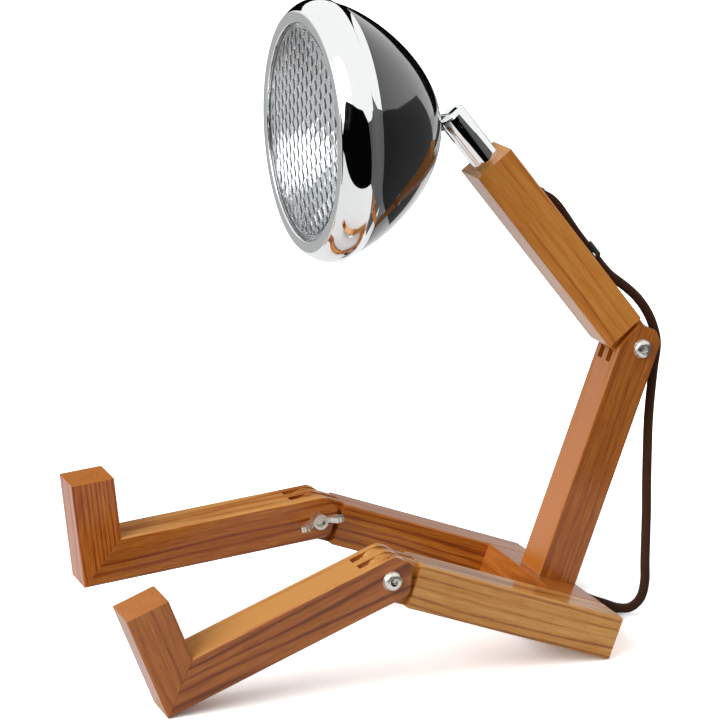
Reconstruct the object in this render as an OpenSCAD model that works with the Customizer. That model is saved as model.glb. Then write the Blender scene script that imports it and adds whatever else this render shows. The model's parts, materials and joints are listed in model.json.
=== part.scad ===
// Jointed wooden desk lamp: two legs on a seat, a torso, an arm and a round head.
// Millimetres. +Z is up, the lamp faces -X, and its left side is -Y.
// The origin is on the floor under the middle of the lamp's box.

/* [Seat] */
// Overall width across both thighs
seat_w = 171; // [150:1:200]
// Angle by which the front of the seat is raised
seat_tilt = 20.6; // [14:0.1:24]
// Rear face to knee pivot
thigh_len = 159.6; // [140:0.2:180]
// Depth of the block that joins the thighs
hip_depth = 36; // [33:1:60]
// Diameter of the hip dowels
hip_dowel_d = 8; // [6:0.5:10]
// Depth of a hip dowel in each piece
hip_dowel_depth = 20; // [14:1:26]

/* [Legs] */
// Thickness of the thighs and legs, seen from the side
leg_h = 28; // [24:0.5:32]
// Width of the thighs and legs
leg_w = 32; // [26:0.5:38]
// Knee pivot to the flat sole
shank_len = 157.8; // [140:0.2:180]
// Heel to toe
foot_h = 68; // [50:1:90]
// Thickness of the foot board
foot_t = 28; // [22:1:34]
// Downward slope of the right leg
right_slope = 5.4; // [2:0.1:12]
// Diameter of the two dowels across each heel
heel_dowel_d = 6; // [4:0.5:8]
// Length of a heel dowel
heel_dowel_len = 24; // [16:1:26]

/* [Torso and arm] */
// Width of the torso and arm
torso_w = 30; // [26:0.5:36]
// Thickness of the torso and arm, seen from the side
torso_h = 28; // [26:0.5:31]
// Seat top to elbow pivot
torso_len = 159.4; // [120:0.2:190]
// Distance by which the torso stands in from the seat's rear face
torso_inset = 1.4; // [0:0.1:4]
// Distance of the elbow pivot behind the middle of the torso
elbow_back = 2; // [0:0.5:3]
// Forward bend of the elbow
elbow_bend = 58.7; // [50:0.1:66]
// Elbow pivot to the top face of the arm
arm_len = 162.7; // [140:0.2:200]
// Wood screw diameter, torso to seat
screw_d = 5; // [4:0.5:6]
// Length of the torso screws in the torso
screw_grip = 34; // [20:1:50]
// Bevel on the long edges of the wood
edge_ease = 1; // [0.4:0.2:2]

/* [Finger joints] */
// How far the fingers run past the pivot at their faces
finger_nose = 7.3; // [5:0.1:9]
// Gap between a finger and a tongue, on each side
finger_gap = 0.2; // [0.1:0.05:0.4]
// Gap ahead of the fingers' sweep
shoulder_gap = 0.4; // [0.3:0.1:0.8]

/* [Clamp bolts] */
// Diameter of the clamp bolts
bolt_d = 6; // [4:0.5:8]
// Diameter of the button heads
bolt_head_d = 12; // [9:0.5:14]
// Height of the button heads
bolt_head_h = 3.3; // [2.4:0.1:4]
// Hex socket across the flats
socket_af = 4; // [2.5:0.5:5]
// Outside diameter of the washers under the bolt heads
washer_d = 12.4; // [9:0.2:16]
// Outside diameter of the washers under the wing nuts
nut_washer_d = 10; // [9:0.2:12]
// Thickness of the washers
washer_t = 1; // [0.6:0.1:2]
// Diameter of a wing nut's hub
nut_d = 10.5; // [8.5:0.5:12]
// Height of a wing nut's hub
nut_h = 8; // [6:0.5:10]
// Span across the wings
wing_span = 30; // [24:1:36]
// Thickness of the wings
wing_t = 3.5; // [2.5:0.1:4.5]
// Distance of the bolt's end inside the wing nut
bolt_in = 3; // [0:0.5:4]

/* [Neck] */
// Outside diameter of the neck tube
neck_d = 18.5; // [16:0.1:20]
// Length of the neck tube outside the arm
neck_len = 39.1; // [34:0.1:60]
// Depth of the neck tube's seat in the arm
neck_seat = 3; // [2:0.5:6]
// Diameter of the spigot
spigot_d = 12; // [10:0.1:12.5]
// Outside diameter of the bush
bush_d = 16; // [14:0.1:16]
// Length of the bush
bush_len = 12; // [9:0.5:13]
// Bore for the lead through the neck
lead_bore = 7; // [6:0.1:8]
// Diameter of the grub screw
grub_d = 4; // [3:0.5:5]
// Tilt pivot below the end of the neck tube
tilt_drop = 7; // [6.5:0.5:10]
// Thickness of the knuckle's tongue
tongue_t = 4; // [3:0.1:5]
// Width of the knuckle's tongue
tongue_w = 10; // [9:0.5:12.5]
// Depth of the fork
fork_depth = 16; // [15:0.5:22]
// Diameter of the tilt pin
pin_d = 4; // [2.5:0.5:5]

/* [Head] */
// Tilt pivot to the rear end of the shell
nose_reach = 14.8; // [14:0.1:22]
// Depth of the shell, behind the bezel
shell_depth = 62.3; // [50:0.1:80]
// Radius of the shell at the bezel
shell_r = 76.7; // [70:0.1:84]
// Amount by which the rear end of the shell is flattened
nose_flat = 0.9; // [0.5:0.1:2]
// Sheet thickness of the shell
shell_wall = 1.2; // [0.8:0.1:2]
// Depth of the bezel ring
bezel_depth = 25.3; // [22:0.1:32]
// Greatest radius of the bezel ring
bezel_r = 80.5; // [78.5:0.1:88]
// Outer radius of the flat lip around the lens
lip_r = 73.9; // [72:0.1:76]
// Radius of the opening around the lens
opening_r = 66.6; // [60:0.1:69]
// Sheet thickness of the bezel
bezel_wall = 1; // [0.8:0.1:1.4]
// Radius of the lens glass
lens_r = 70.5; // [70:0.1:71.5]
// Thickness of the lens glass
lens_t = 3; // [2:0.1:4]
// Height of the dome of the lens
lens_dome = 2.7; // [1:0.1:6]
// Thickness of the gasket
gasket_t = 1.2; // [0.8:0.1:2]
// Sheet thickness of the reflector
mirror_wall = 0.8; // [0.6:0.1:1.2]
// Depth of the reflector's curve
mirror_depth = 46; // [38:1:50]
// Radius of the reflector's neck
mirror_neck_r = 14; // [12:0.5:17]
// Diameter of the bulb
bulb_d = 16; // [12:0.5:20]
// Length of the bulb in front of its holder
bulb_len = 33; // [24:1:38]

/* [Cord] */
// Diameter of the cord
cord_d = 6.2; // [5.6:0.1:6.2]
// Distance from the elbow to the middle of the cable clip, along the arm
clip_at = 68; // [60:1:76]
// Width of the cable clip along the arm
clip_w = 10; // [6:1:14]
// Length of the tapered cord sleeve
sleeve_len = 18; // [14:1:20]
// Radius at the middle of the coil's turns
coil_r = 33; // [31.5:0.5:34]
// Length of the in-line switch
switch_len = 56; // [52:1:60]
// Width of the in-line switch
switch_w = 20; // [19:0.5:24]
// Height of the in-line switch
switch_h = 16; // [15:0.5:18]
// Length of the rocker
rocker_len = 12.6; // [10:0.2:14]
// Width of the rocker
rocker_w = 8; // [6:0.5:10]
// Angle between the two positions of the rocker
rocker_throw = 24; // [16:1:24]
// Wall of the switch's two half shells
switch_wall = 1.6; // [1.2:0.1:2.2]
// Length of the plug's body
plug_len = 36; // [30:1:44]
// Width of the plug's body
plug_w = 35; // [28:1:38]
// Thickness of the plug's body
plug_h = 13.7; // [13:0.1:18]
// Distance between the plug's pins
pin_pitch = 19; // [18:0.5:19]
// Diameter of the plug's pins
plug_pin_d = 4; // [3.5:0.1:5]
// Length of the plug's pins
plug_pin_len = 19; // [16:0.5:20]
// Length of the plug's tapered tail
plug_tail = 20; // [20:1:30]

/* [Hidden] */
$fn = 64;

// Fits
glue_fit = 0.03;    // radial, dowels and pressed pieces
run_fit = 0.05;     // radial, turning pins and bolts
loose_fit = 0.15;   // radial, screws and sheet metal
seat_fit = 0.05;    // between faces of different bodies
over = 1;           // overrun of a cut

wood = "peru";
wood_dark = "sienna";
chrome = "silver";
black = "dimgray";
cord_brown = "saddlebrown";

// Knee and elbow: fingers on the outside, tongues between them
finger_r = sqrt(pow(leg_h/2, 2) + pow(finger_nose, 2));
finger_tip = 13.3;                  // angle of the fingers' foremost corner
shoulder = finger_r + shoulder_gap; // pivot to the shoulder of the tongued piece
tongue_play = 0.1;
slot_play = 0.5;
small_screw_r = 1.25;
clip_screw_y = 7.2;                 // either side of the cord
clip_base_w = 20;
clip_wall = 1.4;
clip_base_t = 1.6;
finger_top_r = 10;                  // rounding of the fingers' upper corner
finger_tip_r = 3;
finger_low_r = 8;
elbow_round_r = 4;
switch_screw_in = 16.5;             // from the ends of the switch
washer_r = 8;                       // inside the shell
washer_h = 1.2;
nut_af = 13;
nut_t = 4;
knee_tongue_r = leg_h/2 - tongue_play;
knee_slot = knee_tongue_r + slot_play;

// Elbow
elbow_front = torso_h/2 + elbow_back;
elbow_rear = torso_h/2 - elbow_back;
elbow_x = -torso_inset - elbow_rear;
elbow_top = 14;                     // fingers above the pivot
elbow_tongue_r = 13.9;
elbow_slot = 14.8;
elbow_shoulder = sqrt(pow(elbow_top, 2) + pow(7.5, 2)) + shoulder_gap;

// Knee position and the slope at which the left heel meets the floor
knee_x = -thigh_len*cos(seat_tilt) + leg_h/2*sin(seat_tilt);
knee_z = thigh_len*sin(seat_tilt) + leg_h/2*cos(seat_tilt);
left_slope = asin(knee_z/sqrt(pow(shank_len, 2) + pow(leg_h/2, 2)))
    - atan(leg_h/2/shank_len);
left_bend = seat_tilt + left_slope;
right_bend = seat_tilt + right_slope;
knee_y = (seat_w - leg_w)/2;

// The lamp's box, from the left toe to the back of the elbow, is centred on the origin
toe_x = knee_x - shank_len*cos(left_slope) - (foot_h - leg_h/2)*sin(left_slope);
back_x = -torso_inset*cos(seat_tilt)
    + (leg_h + torso_len + elbow_top/2)*sin(seat_tilt);
middle_x = (toe_x + back_x)/2;

// Neck and head
neck_x = -elbow_back;               // neck axis, from the elbow's line on the arm
spigot_len = bush_len - 0.5;
tilt_at = neck_len - tilt_drop;     // arm's top face to the tilt pivot
head_turn = elbow_bend - seat_tilt; // the head's axis is level at rest
collar_h = 2;
collar_r = 7;
nose_r = 9;
nose_wall = 1.5;
stud_r = 4;
stud_len = 9.2;
nose_z = nose_reach;
apex_z = nose_z - nose_flat;
rim_z = apex_z + shell_depth;       // front of the shell's outer skin
front_z = rim_z + seat_fit + bezel_depth;   // flat front of the bezel

// Cord, in the arm's own frame: distance from the pivot line towards the rear, and along
// the arm from the elbow
cord_r = cord_d/2;
exit_angle = 30;
bend_at = [neck_x, arm_len - 16.7];
sleeve_end = 30;                    // along the slanted bore, from bend_at
sleeve_in_r = 4.5;
sleeve_out_r = 3.9;
arm_route = [
    [13, 120], [15.5, 114], [16.4, 107.5], [16.2, 100], [15.7, 92], [15.3, 84],
    [15.3, 73], [15.3, 63], [15.4, 54], [16, 47], [17.9, 39], [19.8, 31], [21.2, 20]
];
// From behind the elbow to the floor and round to the switch
switch_at = [148, 73];
fall_route = [
    [189, 0, 193.8], [192.4, -0.5, 181], [190.4, -1, 163], [188.2, -2, 146],
    [186, -4, 129], [183.7, -8, 110], [181.6, -12, 91], [179.4, -17, 72],
    [177.2, -21, 54], [175.6, -24, 39], [175.2, -25, 28], [174, -21.9, 15.6],
    [170.5, -13.4, 6.4], [165.9, -1.9, 3.1], [162, 8, 3.1], [158.4, 16.6, 3.1],
    [155.2, 24.1, 3.6], [149.4, 33.2, 6.2],
    [switch_at[0], switch_at[1] - switch_len/2, switch_h/2]
];
// From the switch to the coil, and from the coil to the plug
link_route = [
    [switch_at[0], switch_at[1] + switch_len/2, switch_h/2], [148, 107.5, 7.1],
    [146.8, 115.5, 5], [141.7, 126.8, 3.3], [133.7, 137.8, 3.1], [123.6, 147.9, 3.1],
    [111.8, 156.6, 3.6]
];
coil_at = [80, 129];
coil_columns = 3;                   // turns side by side
coil_layers = 3;
tail_angle = 115;
tail_start = 15;                    // from where the tail leaves the coil's line
tail_len = 20;
coil_lift = 0.8;                    // thickness of the tie under the coil

// A point given in the seat's frame (rearward, across, up from the rear lower edge)
function from_seat(p) = [
    p[0]*cos(seat_tilt) + p[2]*sin(seat_tilt) - middle_x,
    p[1],
    -p[0]*sin(seat_tilt) + p[2]*cos(seat_tilt)
];
// A point given in the arm's frame
function from_arm(p) = from_seat([
    elbow_x + p[0]*cos(elbow_bend) - p[2]*sin(elbow_bend),
    p[1],
    leg_h + torso_len + p[0]*sin(elbow_bend) + p[2]*cos(elbow_bend)
]);

// ---- frames -------------------------------------------------------------------------

module seat_frame() {
    translate([-middle_x, 0, 0]) rotate([0, seat_tilt, 0]) children();
}

// Origin on the knee pivot, +X towards the thigh, outer side at -Y
module knee_frame(side, bend) {
    seat_frame() translate([-thigh_len, side*knee_y, leg_h/2]) rotate([0, -bend, 0])
        mirror([0, side > 0 ? 1 : 0, 0]) children();
}

module left_knee() { knee_frame(-1, left_bend) children(); }
module right_knee() { knee_frame(1, right_bend) children(); }

// Origin on the elbow pivot, +Z along the torso
module elbow_frame() {
    seat_frame() translate([elbow_x, 0, leg_h + torso_len]) children();
}

// Origin on the elbow pivot, +Z along the arm
module arm_frame() {
    elbow_frame() rotate([0, -elbow_bend, 0]) children();
}

// Origin on the neck axis in the arm's top face
module neck_frame() {
    arm_frame() translate([neck_x, 0, arm_len]) children();
}

// Origin on the tilt pivot, +Z out of the front of the head, +X up
module head_frame() {
    neck_frame() translate([0, 0, tilt_at]) rotate([0, head_turn - 90, 0]) children();
}

// ---- shared shapes --------------------------------------------------------------------

// Bar from the origin along +X with eased long edges, centred across
module eased_bar(length, high, wide) {
    w = wide/2;
    h = high/2;
    e = edge_ease;
    rotate([90, 0, 90]) linear_extrude(length)
        polygon([
            [-w + e, -h], [w - e, -h], [w, -h + e], [w, h - e],
            [w - e, h], [-w + e, h], [-w, h - e], [-w, -h + e]
        ]);
}

// Points of an arc that rounds the corner between two sides of an outline
function eased_corner(before, corner, after, r) =
    let(
        back = (before - corner)/norm(before - corner),
        ahead = (after - corner)/norm(after - corner),
        half = acos(back*ahead)/2,
        middle = corner + (back + ahead)/norm(back + ahead)*r/sin(half),
        first = corner + back*r/tan(half) - middle,
        last = corner + ahead*r/tan(half) - middle,
        start = atan2(first[1], first[0]),
        turn = atan2(last[1], last[0]) - start,
        sweep = turn > 180 ? turn - 360 : turn < -180 ? turn + 360 : turn
    )
    [for (i = [0 : 6]) middle + r*[cos(start + sweep*i/6), sin(start + sweep*i/6)]];

// The outline drawn in X and Z, extruded across Y
module side_slab(wide) {
    translate([0, wide/2, 0]) rotate([90, 0, 0]) linear_extrude(wide) children();
}

// Straight bore or pin along Y
module cross_pin(r, length) {
    rotate([90, 0, 0]) cylinder(r = r, h = length, center = true);
}

// Places two copies at -offset and +offset across
module both(offset) {
    for (s = [-1, 1]) translate([0, s*offset, 0]) children();
}

// Tongue outline: round about the pivot, straight up to the shoulder along +X
module tongue_outline(r, reach, low, high) {
    intersection() {
        union() {
            circle(r);
            translate([0, -r]) square([reach + over, 2*r]);
        }
        translate([-r, low]) square([r + reach + over, high - low]);
    }
}

// ---- clamp bolts ----------------------------------------------------------------------

// Head on the outer side (-Y) of a stack of the given width
module clamp_bolt(width) {
    face = width/2 + washer_t;
    length = width + 2*washer_t + nut_h - bolt_in;
    dome = bolt_head_d*0.32;
    color(chrome) difference() {
        union() {
            translate([0, -face, 0]) rotate([-90, 0, 0]) cylinder(d = bolt_d, h = length);
            translate([0, -face, 0]) rotate([90, 0, 0]) rotate_extrude()
                polygon([
                    [0, 0], [bolt_head_d/2, 0], [bolt_head_d/2, bolt_head_h*0.24],
                    [bolt_head_d*0.46, bolt_head_h*0.52], [bolt_head_d*0.4, bolt_head_h*0.76],
                    [dome, bolt_head_h*0.92], [bolt_head_d*0.22, bolt_head_h],
                    [0, bolt_head_h]
                ]);
        }
        translate([0, -face - bolt_head_h - over, 0]) rotate([-90, 0, 0])
            cylinder(d = socket_af/cos(30), h = bolt_head_h*0.65 + over, $fn = 6);
    }
}

module clamp_washers(width) {
    at = width/2 + washer_t/2;
    color(chrome) for (y = [-at, at]) translate([0, y, 0]) difference() {
        cross_pin((y > 0 ? nut_washer_d : washer_d)/2, washer_t);
        cross_pin(bolt_d/2 + run_fit, washer_t + over);
    }
}

// Wings along the leg, rising away from the washer
module wing_nut(width) {
    reach = wing_span/2;
    tip = 2.6;
    color(chrome) translate([0, width/2 + washer_t + seat_fit, 0]) difference() {
        union() {
            rotate([-90, 0, 0]) cylinder(d1 = nut_d, d2 = nut_d*0.95, h = nut_h);
            for (s = [0, 180]) rotate([0, s, 0])
                translate([0, 0, -wing_t/2]) linear_extrude(wing_t) union() {
                    polygon([
                        [nut_d*0.3, nut_h*0.1], [nut_d*0.5, nut_h*0.1],
                        [reach - 2, nut_h*0.9], [reach - tip*2, nut_h*1.7],
                        [nut_d*0.55, nut_h*0.95], [nut_d*0.3, nut_h*0.85]
                    ]);
                    translate([reach - tip, nut_h*1.32]) circle(tip);
                    translate([reach - tip*1.5, nut_h*1.15]) circle(tip);
                }
        }
        cross_pin(bolt_d/2 + run_fit, nut_h*6);
    }
}

// ---- seat -----------------------------------------------------------------------------

module thigh(side) {
    body_len = thigh_len - shoulder;
    rank = leg_w/5;
    color(wood) seat_frame() translate([0, side*knee_y, leg_h/2]) difference() {
        union() {
            translate([-body_len, 0, 0]) eased_bar(body_len, leg_h, leg_w);
            translate([-thigh_len, 0, 0]) both(rank)
                side_slab(rank - 2*finger_gap)
                    tongue_outline(knee_tongue_r, shoulder, -knee_tongue_r, knee_tongue_r);
        }
        translate([-thigh_len, 0, 0]) cross_pin(bolt_d/2 + run_fit, leg_w + over);
        translate([0, -side*leg_w/2, 0]) hip_dowel_pair(hip_dowel_d/2 + glue_fit,
            2*hip_dowel_depth);
    }
}
module left_thigh() { thigh(-1); }
module right_thigh() { thigh(1); }

module hip_dowel_pair(r, length) {
    for (x = [-hip_depth*0.27, -hip_depth*0.73]) translate([x, 0, 0])
        cross_pin(r, length);
}

// Both screws stand in the middle of the torso's thickness
module torso_screw_places() {
    both(torso_w/4) translate([-torso_inset - torso_h/2, 0, 0]) children();
}

module hip_block() {
    block_w = seat_w - 2*leg_w;
    color(wood) seat_frame() difference() {
        translate([-hip_depth, 0, leg_h/2]) eased_bar(hip_depth, leg_h, block_w);
        translate([0, 0, leg_h/2]) both(block_w/2)
            hip_dowel_pair(hip_dowel_d/2 + glue_fit, 2*hip_dowel_depth);
        torso_screw_places() translate([0, 0, -over])
            cylinder(r = screw_d/2 + loose_fit, h = leg_h + 2*over);
        torso_screw_places() translate([0, 0, -0.01])
            cylinder(r1 = screw_d + loose_fit, r2 = screw_d/2 + loose_fit, h = screw_d*0.6);
    }
}

module hip_dowels() {
    color("burlywood") seat_frame() translate([0, 0, leg_h/2])
        both((seat_w - 2*leg_w)/2) hip_dowel_pair(hip_dowel_d/2, 2*hip_dowel_depth - 1);
}

module torso() {
    finger = torso_w/5;
    color(wood_dark) difference() {
        elbow_frame() intersection() {
            translate([-elbow_back, 0, -torso_len]) rotate([0, -90, 0])
                eased_bar(torso_len + elbow_top, torso_h, torso_w);
            side_slab(torso_w) polygon(concat(
                [[-elbow_front, -torso_len], [elbow_rear, -torso_len]],
                eased_corner([elbow_rear, -5], [elbow_rear, elbow_top/2],
                    [elbow_rear - 7, elbow_top], elbow_round_r),
                eased_corner([elbow_rear, elbow_top/2], [elbow_rear - 7, elbow_top],
                    [-7.5, elbow_top], elbow_round_r),
                [[-7.5, elbow_top], [-elbow_front, -5]]
            ));
        }
        elbow_frame() both(finger) translate([0, 0, (elbow_top - elbow_slot)/2])
            cube([3*torso_h, finger, elbow_top + elbow_slot], center = true);
        elbow_frame() cross_pin(bolt_d/2 + run_fit, torso_w + over);
        seat_frame() torso_screw_places() translate([0, 0, leg_h - over])
            cylinder(r = screw_d*0.45 + glue_fit, h = screw_grip + 1.5 + over);
    }
}

module torso_screws() {
    color(chrome) seat_frame() torso_screw_places() difference() {
        union() {
            cylinder(r1 = screw_d, r2 = screw_d/2, h = screw_d*0.6);
            cylinder(r = screw_d/2, h = leg_h);
            translate([0, 0, leg_h - 0.01])
                cylinder(r = screw_d*0.45, h = screw_grip - screw_d);
            translate([0, 0, leg_h + screw_grip - screw_d - 0.02])
                cylinder(r1 = screw_d*0.45, r2 = 0.3, h = screw_d);
        }
        translate([0, 0, -over]) cylinder(d = socket_af/cos(30), h = 2 + over, $fn = 6);
    }
}

module elbow_bolt() { elbow_frame() clamp_bolt(torso_w); }
module elbow_washers() { elbow_frame() clamp_washers(torso_w); }
module elbow_wing_nut() { elbow_frame() rotate([0, -62, 0]) wing_nut(torso_w); }

// ---- legs -----------------------------------------------------------------------------

// Mitre plane between shank and foot, from the heel up to the instep
module heel_dowel_pair(r, length) {
    translate([-shank_len + foot_t/2, 0, 0]) both(leg_w/4)
        rotate([0, -45, 0]) cylinder(r = r, h = length, center = true);
}

module shank() {
    finger = leg_w/5;
    heel = [-shank_len, -leg_h/2];
    low = [finger_nose, -leg_h/2];
    tip = [finger_r*cos(finger_tip), finger_r*sin(finger_tip)];
    high = [finger_nose, leg_h/2];
    instep = [-shank_len + foot_t, leg_h/2];
    color(wood) difference() {
        intersection() {
            translate([-shank_len, 0, 0]) eased_bar(shank_len + finger_r, leg_h, leg_w);
            side_slab(leg_w) polygon(concat(
                eased_corner(heel, low, tip, finger_low_r),
                eased_corner(low, tip, high, finger_tip_r),
                eased_corner(tip, high, instep, finger_top_r),
                [instep, heel]
            ));
        }
        both(finger) translate([(finger_r + over - knee_slot)/2, 0, 0])
            cube([finger_r + over + knee_slot, finger, 2*leg_h], center = true);
        cross_pin(bolt_d/2 + run_fit, leg_w + over);
        heel_dowel_pair(heel_dowel_d/2 + glue_fit, heel_dowel_len + 1);
    }
}

module foot() {
    color(wood) difference() {
        intersection() {
            translate([-shank_len + foot_t/2, 0, -leg_h/2]) rotate([0, -90, 0])
                eased_bar(foot_h, foot_t, leg_w);
            side_slab(leg_w) polygon([
                [-shank_len, -leg_h/2], [-shank_len + foot_t, leg_h/2],
                [-shank_len + foot_t, foot_h - leg_h/2], [-shank_len, foot_h - leg_h/2]
            ]);
        }
        heel_dowel_pair(heel_dowel_d/2 + glue_fit, heel_dowel_len + 1);
    }
}

module heel_dowels() {
    color("burlywood") heel_dowel_pair(heel_dowel_d/2, heel_dowel_len);
}

module left_shank() { left_knee() shank(); }
module left_foot() { left_knee() foot(); }
module left_heel_dowels() { left_knee() heel_dowels(); }
module left_knee_bolt() { left_knee() clamp_bolt(leg_w); }
module left_knee_washers() { left_knee() clamp_washers(leg_w); }
module left_wing_nut() { left_knee() wing_nut(leg_w); }

module right_shank() { right_knee() shank(); }
module right_foot() { right_knee() foot(); }
module right_heel_dowels() { right_knee() heel_dowels(); }
module right_knee_bolt() { right_knee() clamp_bolt(leg_w); }
module right_knee_washers() { right_knee() clamp_washers(leg_w); }
module right_wing_nut() { right_knee() rotate([0, -4, 0]) wing_nut(leg_w); }

// ---- arm ------------------------------------------------------------------------------

bush_top = arm_len - neck_seat;
bush_low = bush_top - bush_len;

// The slanted line of the cord through the arm's rear face
module cord_line() {
    translate([bend_at[0], 0, bend_at[1]]) rotate([0, 180 - exit_angle, 0]) children();
}

module clip_screw_places() {
    arm_frame() both(clip_screw_y) translate([elbow_rear, 0, clip_at]) rotate([0, 90, 0]) children();
}

module upper_arm() {
    finger = torso_w/5;
    body_len = arm_len - elbow_shoulder;
    color(wood) difference() {
        arm_frame() difference() {
            union() {
                translate([-elbow_back, 0, elbow_shoulder]) rotate([0, -90, 0])
                    eased_bar(body_len, torso_h, torso_w);
                rotate([0, -90, 0]) both(finger) side_slab(finger - 2*finger_gap)
                    tongue_outline(elbow_tongue_r, elbow_shoulder, -elbow_rear,
                        elbow_tongue_r);
            }
            cross_pin(bolt_d/2 + run_fit, torso_w + over);
            translate([neck_x, 0, bush_low])
                cylinder(r = bush_d/2 + glue_fit, h = arm_len - bush_low + over);
            translate([neck_x, 0, bush_top])
                cylinder(r = neck_d/2 + loose_fit, h = neck_seat + over);
            cord_line() cylinder(r = sleeve_in_r + glue_fit, h = 3*torso_h);
            translate([neck_x, 0, bend_at[1]]) sphere(sleeve_in_r + glue_fit);
            translate([neck_x, torso_w/2 + over, (bush_low + bush_top)/2])
                rotate([90, 0, 0]) cylinder(r = grub_d/2 + glue_fit, h = torso_w/2 + over);
        }
        clip_screw_places() translate([0, 0, -9]) cylinder(r = small_screw_r + glue_fit, h = 10);
    }
}

module neck_bush() {
    color("goldenrod") arm_frame() translate([neck_x, 0, bush_low]) difference() {
        cylinder(r = bush_d/2, h = bush_len);
        translate([0, 0, -over])
            cylinder(r = spigot_d/2 + run_fit, h = bush_len + 2*over);
        translate([0, 0, bush_len/2]) rotate([-90, 0, 0])
            cylinder(r = grub_d/2 + glue_fit, h = bush_d);
    }
}

// Its tip runs in the groove of the spigot
module neck_grub_screw() {
    groove_r = spigot_d/2 - 1;
    color(black) arm_frame() translate([neck_x, 0, (bush_low + bush_top)/2])
        rotate([-90, 0, 0]) difference() {
            translate([0, 0, groove_r + seat_fit])
                cylinder(d = grub_d, h = torso_w/2 - groove_r - 1);
            translate([0, 0, torso_w/2 - 3])
                cylinder(d = grub_d*0.5/cos(30), h = 4, $fn = 6);
        }
}

module cord_sleeve() {
    low = sleeve_end - sleeve_len;
    color(black) arm_frame() cord_line() difference() {
        union() {
            translate([0, 0, low]) cylinder(r = sleeve_in_r, h = sleeve_len*0.62);
            translate([0, 0, low + sleeve_len*0.62 - 0.01])
                cylinder(r1 = sleeve_in_r, r2 = sleeve_out_r, h = sleeve_len*0.38 + 0.01);
        }
        translate([0, 0, low - over])
            cylinder(r = cord_r + run_fit, h = sleeve_len + 2*over);
    }
}

// Saddle over the cord on the rear face of the arm
module cable_clip() {
    cord_x = arm_route[6][0] - elbow_rear;
    hoop_r = cord_r + clip_wall;
    bore_r = cord_r + loose_fit;
    color(black) arm_frame() translate([elbow_rear, 0, clip_at]) difference() {
        union() {
            translate([clip_base_t/2, 0, 0])
                cube([clip_base_t, clip_base_w, clip_w], center = true);
            translate([cord_x/2, 0, 0]) cube([cord_x, 2*hoop_r, clip_w], center = true);
            translate([cord_x, 0, 0]) cylinder(r = hoop_r, h = clip_w, center = true);
        }
        translate([cord_x, 0, 0]) cylinder(r = bore_r, h = 2*clip_w, center = true);
        cube([2*cord_x, 2*bore_r, 2*clip_w], center = true);
        both(clip_screw_y) rotate([0, 90, 0])
            cylinder(r = small_screw_r + loose_fit, h = 4*clip_base_t, center = true);
    }
}

module clip_screws() {
    color(chrome) clip_screw_places() {
        translate([0, 0, clip_base_t]) cylinder(r1 = 2.2, r2 = 1.5, h = 1.1);
        translate([0, 0, -8]) cylinder(r = small_screw_r, h = 8 + clip_base_t + 0.01);
    }
}

// The cord inside the wood, from under the spigot to the end of the sleeve
module inner_lead() {
    top = bush_top - spigot_len - 0.3;
    color(cord_brown) arm_frame() difference() {
        union() {
            cord_line() cylinder(r = cord_r, h = sleeve_end);
            translate([neck_x, 0, bend_at[1]]) sphere(cord_r);
        }
        translate([neck_x, 0, top]) cylinder(r = 2*cord_r, h = 2*cord_r);
    }
}

// ---- neck -----------------------------------------------------------------------------

module neck_tube() {
    slot = tongue_t/2 + 0.25;
    back = tongue_w/2 + 0.5;
    low = -neck_seat - spigot_len;
    color(chrome) neck_frame() difference() {
        rotate_extrude() polygon([
            [0, low], [spigot_d/2, low], [spigot_d/2, -neck_seat + seat_fit],
            [neck_d/2, -neck_seat + seat_fit], [neck_d/2, neck_len - 1],
            [neck_d/2 - 0.8, neck_len], [0, neck_len]
        ]);
        translate([0, 0, -neck_seat - bush_len/2]) difference() {
            cylinder(r = neck_d, h = grub_d + 0.6, center = true);
            cylinder(r = spigot_d/2 - 1, h = grub_d + 2, center = true);
        }
        translate([0, 0, low - over])
            cylinder(d = lead_bore, h = neck_len - fork_depth - low + over);
        translate([-neck_d, -slot, neck_len - fork_depth])
            cube([neck_d + back, 2*slot, fork_depth + over]);
        translate([0, 0, tilt_at]) cross_pin(pin_d/2 + glue_fit, 2*neck_d);
    }
}

// Ends flush with the tube
module tilt_pin() {
    color(chrome) neck_frame() translate([0, 0, tilt_at]) intersection() {
        cross_pin(pin_d/2, 2*neck_d);
        cylinder(d = neck_d, h = 2*pin_d, center = true);
    }
}

module neck_lead() {
    low = -neck_seat - spigot_len;
    color(cord_brown) neck_frame() translate([0, 0, low])
        cylinder(d = lead_bore - 1, h = neck_len - fork_depth - 1 - low);
}

// ---- head -----------------------------------------------------------------------------

module head_knuckle() {
    color(chrome) head_frame() difference() {
        union() {
            side_slab(tongue_t) rotate(90) union() {
                circle(tongue_w/2);
                translate([0, -tongue_w/2])
                    square([nose_z - collar_h + 0.01, tongue_w]);
            }
            translate([0, 0, nose_z - collar_h]) cylinder(r = collar_r, h = collar_h);
            translate([0, 0, nose_z - 0.01]) cylinder(r = stud_r, h = stud_len + 0.01);
        }
        cross_pin(pin_d/2 + run_fit, 2*tongue_t);
        translate([0, 0, nose_z]) cylinder(r = 2.3, h = stud_len + over);
    }
}

module knuckle_washer() {
    color(chrome) head_frame() translate([0, 0, nose_z + nose_wall]) difference() {
        cylinder(r = washer_r, h = washer_h);
        translate([0, 0, -over]) cylinder(r = stud_r + loose_fit, h = washer_h + 2*over);
    }
}

module knuckle_nut() {
    color(chrome) head_frame() translate([0, 0, nose_z + nose_wall + washer_h]) difference() {
        cylinder(d = nut_af/cos(30), h = nut_t, $fn = 6);
        translate([0, 0, -over]) cylinder(r = stud_r + run_fit, h = nut_t + 2*over);
    }
}

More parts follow.
